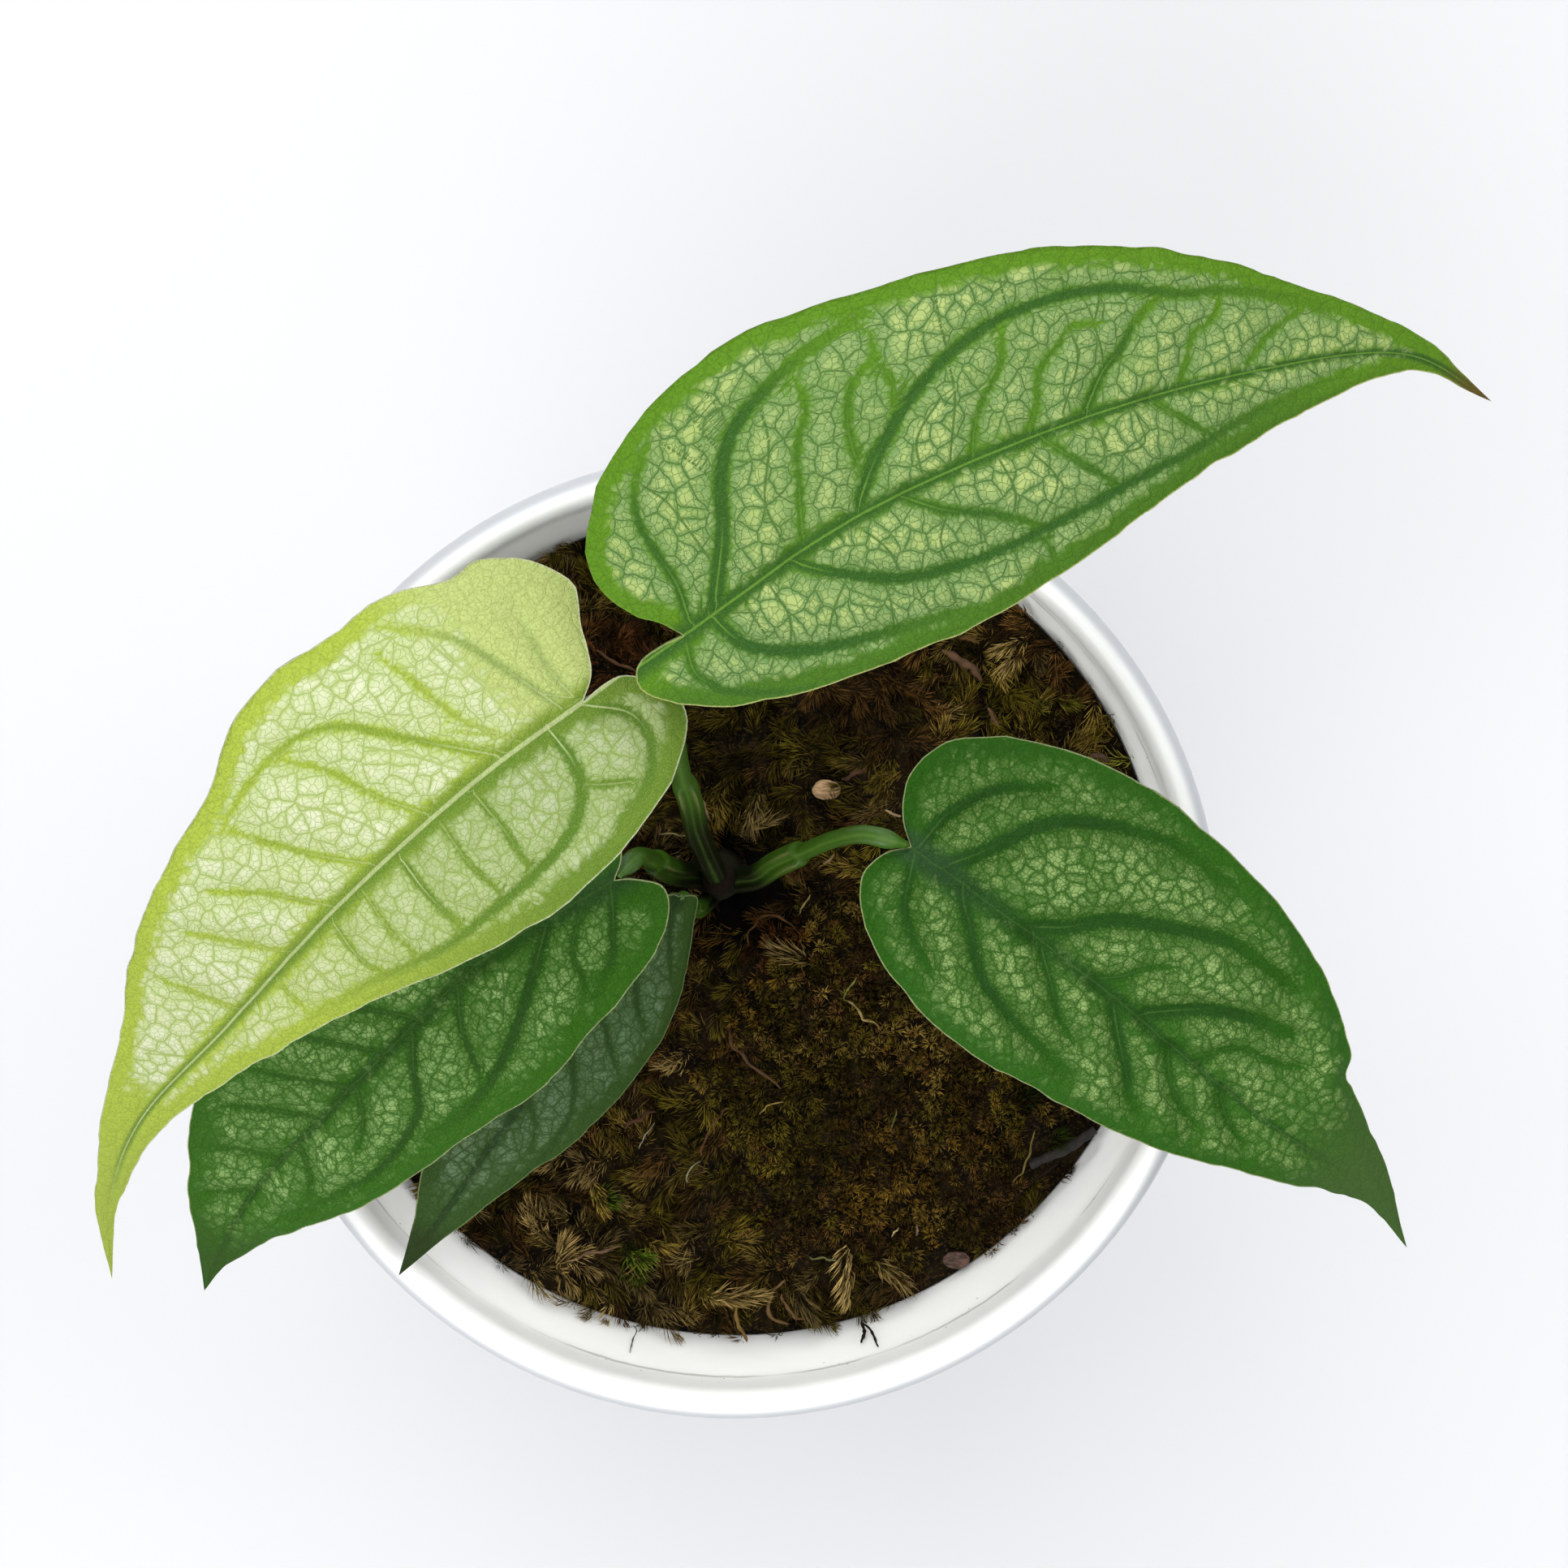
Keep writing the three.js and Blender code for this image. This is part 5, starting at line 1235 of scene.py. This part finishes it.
def leaf_mesh(blade):
    """The closed blade. Its upper skin carries the grooves of the midrib and of the side veins and
    the quilting between them. The lower skin follows it, with the midrib standing out as a keel."""
    curve = spline(blade["midrib"])
    length = lengths_along(curve)[-1]
    halves = [blade_grid(blade, blade[side], length) for side in ("left", "right")]
    flat = np.stack(halves)
    x, y = flat[..., 0], flat[..., 1]
    off_margins = [nearest_on_line(x.ravel(), y.ravel(), half[:, -1])[0] for half in halves]
    to_margin = np.minimum(*np.abs(off_margins)).reshape(x.shape)
    to_margin[..., -1] = 0
    kept, groove = vein_values(blade, x.ravel(), y.ravel(), to_margin.ravel(), length)
    outside, groove = kept["outside"].reshape(x.shape), groove.reshape(x.shape)
    share = np.clip(x / length, 0, 1)
    quilt = blade["quilt"]
    puff = quilt * smoothstep(outside, -0.5, 3.2) + 0.5 * quilt * (hills(x, y, 3.4, 5) - 0.5)
    relief = (puff - 0.55 * quilt * groove) * smoothstep(to_margin, 0, 3)
    relief -= 0.45 * np.exp(-(y / 0.9) ** 2) * (1 - share)
    relief += 0.25 * np.exp(-(y / 0.3) ** 2) * (1 - share) ** 2
    thin = SKIN * (0.45 + 0.55 * smoothstep(to_margin, 0, 0.8))
    keel = KEEL * (1 - share) * np.exp(-(y / 0.75) ** 2)
    upper = blade_space(blade, curve, x, y, relief + thin)
    lower = blade_space(blade, curve, x, y, relief - thin - keel)
    rows, columns = x.shape[1:]
    sheet = grid_triangles(rows, columns)
    per_sheet = rows * columns
    below = 2 * per_sheet
    edge = columns - 1 + columns * np.arange(rows)
    here, there = edge[:-1], edge[1:]
    rim = np.stack([here, there, there + below, here, there + below, here + below], -1)
    rim = rim.reshape(-1, 3)
    triangles = np.vstack([
        sheet[:, ::-1], sheet + per_sheet, sheet + below, sheet[:, ::-1] + below + per_sheet,
        rim, rim[:, ::-1] + per_sheet])
    points = np.vstack([upper.reshape(-1, 3), lower.reshape(-1, 3)])
    first, corners, is_whole = same_places(points, triangles)
    triangles, corners = triangles[is_whole], corners[is_whole]
    if is_inside_out(points[first], corners):
        triangles, corners = triangles[:, ::-1], corners[:, ::-1]
    leaf = make_mesh(blade["node"].replace("leaf", "blade"), points[first], corners)
    layer = leaf.data.uv_layers.new(name="plane")
    both = np.concatenate([flat.reshape(-1, 2)] * 2)
    layer.data.foreach_set("uv", both[triangles.ravel()].astype(np.float32).ravel())
    is_under = np.concatenate([np.zeros(x.size), np.ones(x.size)])
    for name, values in (kept | {"to_margin": to_margin}).items():
        set_values(leaf, name, np.concatenate([values.ravel()] * 2)[first])
    set_values(leaf, "under", is_under[first])
    return leaf


def skin_tone(red, green, blue):
    """The colour of a skin that looks so in the studio, whose light is brighter than plain white."""
    look = tone(red, green, blue)
    return (*(SKIN_SHARE * part for part in look[:3]), 1.0)


def larger(first, second):
    """The larger of two numbers."""
    return combine("MAXIMUM", first, second)


def leaf_finish(blade):
    """Satin skin: plain green margin and vein bands, silver panels cut up by a fine net of veins, a
    light line down the midrib and a pale margin; matt and paler below."""
    tones = {name: skin_tone(*value) for name, value in blade["tones"].items()}
    skin = Finish(f"{blade['node']}_skin", IOR=1.4, Specular_IOR_Level=0.06)
    plane = new_node(skin.tree, "ShaderNodeUVMap", "UV", {"uv_map": "plane"})[1]
    x, y, _ = split(plane)
    from_rib = abs(y)
    rough_outside, line, half, weight, light, thin_outside, thin_line, silver, to_margin, under = (
        skin.read(name) for name in (
            "outside", "line", "half", "weight", "light", "thin_outside", "thin_line", "silver",
            "to_margin", "under"))
    off_line = larger(abs(line), rough_outside - 0.4)
    outside = larger(abs(line) - half, rough_outside - 0.45)
    off_thin = larger(abs(thin_line), thin_outside - 0.3)

    sway = measure("SUBTRACT", noise(plane, 0.5, 1.0, "Color"), (0.5, 0.5, 0.5))
    swayed = apply_node(
        "ShaderNodeVectorMath", {0: sway, 1: (1.1, 1.1, 0), 2: plane}, operation="MULTIPLY_ADD")
    flat = {"voronoi_dimensions": "2D"}
    coarse, fine = (
        cells(swayed, scale, feature="DISTANCE_TO_EDGE", **flat) for scale in blade["net"])
    cell, small_cell = (chance_of(cells(swayed, scale, "Color", **flat)) for scale in blade["net"])
    grain = noise(plane, 3.4, 4.0)
    speckle_and_glints = noise(plane, 6.0, 3.0)
    clouds = noise(plane, 0.16)
    thin_vein = rise(off_thin + grain * 0.12, 0.26, 0.1)
    net = larger(rise(coarse, 0.05, 0.012) * 0.8, rise(fine, 0.07, 0.015) * 0.5)
    net = larger(net, thin_vein * 0.85)

    mottle = blade["mottle"]
    chance = (small_cell - 0.5) * (0.4 + mottle) + (clouds - 0.5) * (4.0 * mottle)
    reach = silver + chance + (cell - 0.5) * (2.0 * mottle)
    off_vein = outside + (small_cell - 0.5) * 0.35 + (fine - 0.16) * 0.5
    panel = rise(reach, *blade["fade"]) * rise(off_vein, -0.2, 0.6)
    panel = panel * rise(fine + coarse * 0.5, 0.02, 0.42, 1 - blade["islands"])
    panel = panel * rise(cell + clouds * 1.4, 0.6, 1.5, 1 - 0.65 * min(1.0, 1.6 * mottle))
    panel = panel * rise(y, -1, 2, 1.0, blade["left_panel"])
    centre = rise(coarse, 0.03, 0.3)
    bright = small_cell * 0.25 + centre * rise(outside, 0.2, 3.0) * 0.7
    # Partly painted glints: the fine speckle also brightens the silver.
    bright = bright + (grain - 0.42) * 0.9 + (speckle_and_glints - 0.5) * 1.5
    silver_tone = blend(bright, tones["silver"], tones["bright"])

    strength = rise(y, -1, 1, blade["right_strength"], 1.0)
    shade = rise(y, -0.5, 2.5) * rise(x, 55, 8, 0.0, blade["left_shade"])
    rib_half = rise(x, 0, blade["tip_at"][0], 0.6 + blade["rib_band"], 0.7)
    band = larger(rise(outside, 0.5, -0.4) * weight, rise(from_rib, rib_half, 0.2))
    on_lobe = rise(x, blade["plain_lobe"] + 7, blade["plain_lobe"] - 2) * rise(y, -0.5, -2.5)
    green_tone = blend(on_lobe, tones["green"], tones.get("lobe", tones["green"]))
    darker = [shade, rise(y, -1, -6, 0.0, blade["right_shade"]), band * strength * blade["band"],
              rise(grain, 0.4, 0.7, 0.0, 0.3)]
    for share in darker:
        green_tone = blend(share, green_tone, tones["deep"])
    # The fine speckle is partly the skin's own grain and partly painted glints, and lightens the green
    # towards silver.
    green_tone = blend(rise(speckle_and_glints, 0.5, 0.75, 0.0, 0.4), green_tone, tones["silver"])

    net_green = blade["net_green"]
    net_tone = [(1 - net_green) * a + net_green * b for a, b in zip(tones["deep"], tones["green"])]
    base = blend(panel, green_tone, silver_tone)
    base = blend(net * strength * rise(panel, 0.0, 1.0, 0.15), base, net_tone)
    base = blend(shade * 0.25, base, tones["deep"])
    # Painted reflection: a grey sheen on the skin round the stalk joint.
    joint = rise(abs(x), 16, 1, 0.0, blade["joint"]) * rise(from_rib, 3, 0.5)
    base = blend(joint, base, skin_tone(*JOINT_SHEEN_TONE))
    base = blend(rise(off_line, 0.15, 0.04) * light * weight * 0.7, base, tones["line"])
    rib = rise(from_rib / rise(x, 0, 90, blade["rib_line"], 0.09), 1.2, 0.6)
    base = blend(rib * blade["rib_light"], base, tones["line"])
    edge = rise(to_margin + grain * 0.1, 0.24, 0.12) * rise(y, 3, -2, blade["edge_left"], 0.9)
    base = blend(edge, base, tones["edge"])
    base = blend(rise(x, *blade["tip_at"]), base, tones["tip"])
    pale = blend(rise(outside, 0.4, -0.1), tones["silver"], tones["line"])
    base = blend(under * 0.85, base, blend(0.35, pale, tones["green"]))
    skin.feed(Base_Color=base, Roughness=rise(under, 0, 1, 0.42, 0.7))
    skin.add_bump(grain * 0.4 - net + centre * 0.6 + speckle_and_glints * 0.5, 0.13, 0.7)
    return skin


for blade in BLADES:
    blade = PLAIN_BLADE | blade
    finish_piece(leaf_mesh(blade), leaf_finish(blade), blade["slot"], blade["node"])

# The leaf stalks: round green stalks with a groove on the upper side. Each wraps the stem with a
# thicker sheath, whose two thin edges stand up along the groove, pale and papery, and end at a ring.
STALKS = [
    {"node": "leaf_stalk_1", "route": [(-2.4, 8, 94.5), (-3.6, 11.8, 102), (-4.4, 15.2, 110),
        (-4.8, 19, 119), (-5.6, 23.2, 129), (-6, 28, 139.5), (-5.8, 34.5, 153), (-4.9, 39.8, 163.5),
        (-4.2, 41.6, 167.6)],
     "sheath_end": 0.42, "sheath": 1.5, "thin": 1.1, "wing": 0.9, "papery": 0.4},
    {"node": "leaf_stalk_2", "route": [(-2.6, 9, 88.5), (-4.6, 13.2, 93.5), (-5.4, 17, 101),
        (-6, 21, 110.5), (-7, 25.5, 121), (-9, 29, 133), (-12, 32, 146), (-14.6, 33.6, 156),
        (-15.7, 33.9, 159.6)],
     "sheath_end": 0.35, "sheath": 1.25, "thin": 1.0, "wing": 0.5, "papery": 0.2},
    {"node": "leaf_stalk_3", "route": [(-3.8, 7.2, 89.5), (-6.6, 8.2, 96), (-8.4, 9.8, 104),
        (-10.2, 12.4, 116), (-11.5, 13, 125), (-13.2, 11.3, 127.6)],
     "sheath_end": 0.5, "sheath": 1.7, "thin": 1.1, "wing": 0.8, "papery": 0.45},
    {"node": "leaf_stalk_4", "route": [(-2.6, 4.8, 88.5), (-4.2, 3.9, 95), (-5.3, 5, 103.5),
        (-6.3, 6.9, 109.6)],
     "sheath_end": 0.6, "sheath": 1.2, "thin": 0.95, "wing": 0.4, "papery": 0.4},
    {"node": "leaf_stalk_5", "route": [(-0.2, 6.6, 89.5), (2.6, 7.8, 96), (5.2, 10.3, 104.5),
        (8.5, 12.6, 112), (12.5, 15, 119.5), (15.7, 15.9, 123.6), (18.5, 15.4, 124.8),
        (20.7, 14.7, 123.9)],
     "sheath_end": 0.52, "sheath": 1.6, "thin": 1.05, "wing": 0.7, "papery": 0.35},
]
CREST_TURN = 0.62


def stalk_mesh(stalk):
    """The radius falls from the sheath's to the stalk's at the ring and swells a little at the leaf.
    The groove is a hollow round turn 0, and the sheath's edges are two narrow crests beside it."""
    def radius_at(share, turn):
        in_sheath = 1 - smoothstep(share, stalk["sheath_end"], stalk["sheath_end"] + 0.04)
        swell = 0.12 * smoothstep(share, 0.8, 0.93) - 0.7 * smoothstep(share, 0.93, 1)
        round_radius = stalk["thin"] * (1 + swell) + (stalk["sheath"] - stalk["thin"]) * in_sheath
        ring = 0.08 * np.exp(-((share - stalk["sheath_end"] - 0.02) / 0.012) ** 2)
        groove = np.exp(-(turn / (0.32 + 0.2 * in_sheath)) ** 2)
        depth = 0.14 + 0.3 * in_sheath * smoothstep(share, 0.02, 0.12)
        crests = np.exp(-((np.abs(turn) - CREST_TURN) / 0.13) ** 2)
        frill = 0.75 + 0.25 * np.sin(37 * share)
        height = 0.5 * stalk["wing"] * in_sheath * smoothstep(share, 0.02, 0.1) * frill
        return round_radius * (1 + ring - depth * groove) + height * crests

    points, triangles, share, turn = tube(stalk["route"], radius_at, 96, 40)
    in_sheath = 1 - smoothstep(share, stalk["sheath_end"], stalk["sheath_end"] + 0.03)
    papery = np.exp(-((np.abs(turn) - CREST_TURN) / 0.12) ** 2) * in_sheath * stalk["papery"]
    papery *= 0.12 + 0.88 * smoothstep(share, 0.72 * stalk["sheath_end"], stalk["sheath_end"])
    # A painted highlight along the top of the stalk, kept under the name groove.
    painted_top_highlight = np.exp(-(turn / 0.2) ** 2)
    piece = make_mesh(stalk["node"].replace("leaf_", ""), points, triangles)
    for name, values in {"papery": papery, "groove": painted_top_highlight, "share": share}.items():
        set_values(piece, name, np.concatenate([values.ravel(), values[0, :1], values[-1, :1]]))
    return piece


def stalk_finish():
    """Smooth, faintly mottled green skin with buff papery edges on the sheath. Painted shade makes it
    dark at the foot, and a painted highlight makes a pale line along the groove on its top."""
    skin = Finish("stalk_skin", Roughness=0.38, IOR=1.42, Specular_IOR_Level=0.4)
    mottle = noise(skin.place(), 1.4, 4.0)
    share = skin.read("share")
    base = blend(mottle, tone(34, 66, 6), tone(54, 86, 12))
    base = blend(rise(share, 0.8, 1.0, 0.0, 0.5), base, tone(62, 98, 32))
    # Painted shade: the stalk darkens almost to black at its foot, in the pit among the stalks.
    base = blend(rise(share, 0.4, 0.2, 0.0, 0.95), base, tone(9, 14, 2))
    # Painted highlight: a paler line along the groove on top of the stalk.
    base = blend(skin.read("groove") * 0.3, base, tone(92, 124, 46))
    papery = skin.read("papery") * rise(mottle, 0.3, 0.6, 0.7)
    base = blend(papery, base, tone(150, 138, 96))
    skin.feed(Base_Color=base)
    skin.add_bump(mottle, 0.08)
    return skin


stalk_skin = stalk_finish()
for stalk in STALKS:
    finish_piece(stalk_mesh(stalk), stalk_skin, "stalk_green", stalk["node"])

# Litter on the moss: a bit of dark twig against the wall, a pale flake of bark and a seed husk.


def litter_finish(name, dark, light, scale, grain):
    """Rough plant litter, streaked or mottled between two tones."""
    rough = Finish(name, Roughness=0.85)
    mottle = noise(measure("MULTIPLY", rough.place(), grain), scale, 6.0)
    rough.feed(Base_Color=blend(rise(mottle, 0.35, 0.65), tone(*dark), tone(*light)))
    rough.add_bump(mottle, 0.3)
    return rough


def pebble(node, lumps, seed, rings=28, sides=40):
    """A rounded scrap that fills a CAD node's box: an ellipsoid whose radius varies by `lumps`."""
    low, high = (np.array(corner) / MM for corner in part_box(node))
    around = np.linspace(0, 2 * math.pi, sides, endpoint=False)
    tilt, turn = np.meshgrid(np.linspace(0, math.pi, rings), around, indexing="ij")
    ball = np.stack([np.sin(tilt) * np.cos(turn), np.sin(tilt) * np.sin(turn), np.cos(tilt)], -1)
    u, v = 3 * ball[..., 0] + 9, 3 * ball[..., 1] + 5 * ball[..., 2]
    rough = 1 + lumps * (hills(u, v, 1.2, seed) - 0.5)
    points = (low + high) / 2 + ball * rough[..., None] * (high - low) / 2
    welded = weld(points.reshape(-1, 3), grid_triangles(rings, sides, closed=True))
    return make_mesh(f"{node}_scrap", *welded)


TWIG_LOW, TWIG_HIGH = (np.array(corner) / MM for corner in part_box("twig"))
TWIG_INNER = TWIG_LOW + (0.5, 0.6, 0.7)
TWIG_OUTER = TWIG_HIGH - (0.5, 0.7, 0.7)
TWIG_MIDDLE = (TWIG_INNER + TWIG_OUTER) / 2 + (0.3, -0.2, 0.3)


def twig_radius(share, turn):
    """A knobbly round stick."""
    return 0.62 + 0.08 * np.sin(9 * share + 2 * turn) + 0.06 * np.sin(31 * share)


twig = make_mesh("twig_scrap", *tube([TWIG_INNER, TWIG_MIDDLE, TWIG_OUTER], twig_radius, 60, 20)[:2])
twig_bark = litter_finish("twig_bark", (9, 6, 4), (28, 20, 14), 1.4, (1, 1, 1))
flake_bark = litter_finish("flake_bark", (140, 108, 74), (172, 142, 104), 1.6, (0.4, 1.6, 1))
husk_skin = litter_finish("husk_skin", (44, 28, 20), (92, 66, 52), 1.8, (0.5, 1.5, 1))
finish_piece(twig, twig_bark, "dark_bark", "twig")
finish_piece(pebble("bark_flake", 0.25, 21), flake_bark, "pale_bark", "bark_flake")
finish_piece(pebble("seed_husk", 0.25, 22), husk_skin, "dark_bark", "seed_husk")

visual_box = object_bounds()
{"cad": [list(corner) for corner in cad_box], "visual": [list(corner) for corner in visual_box]}
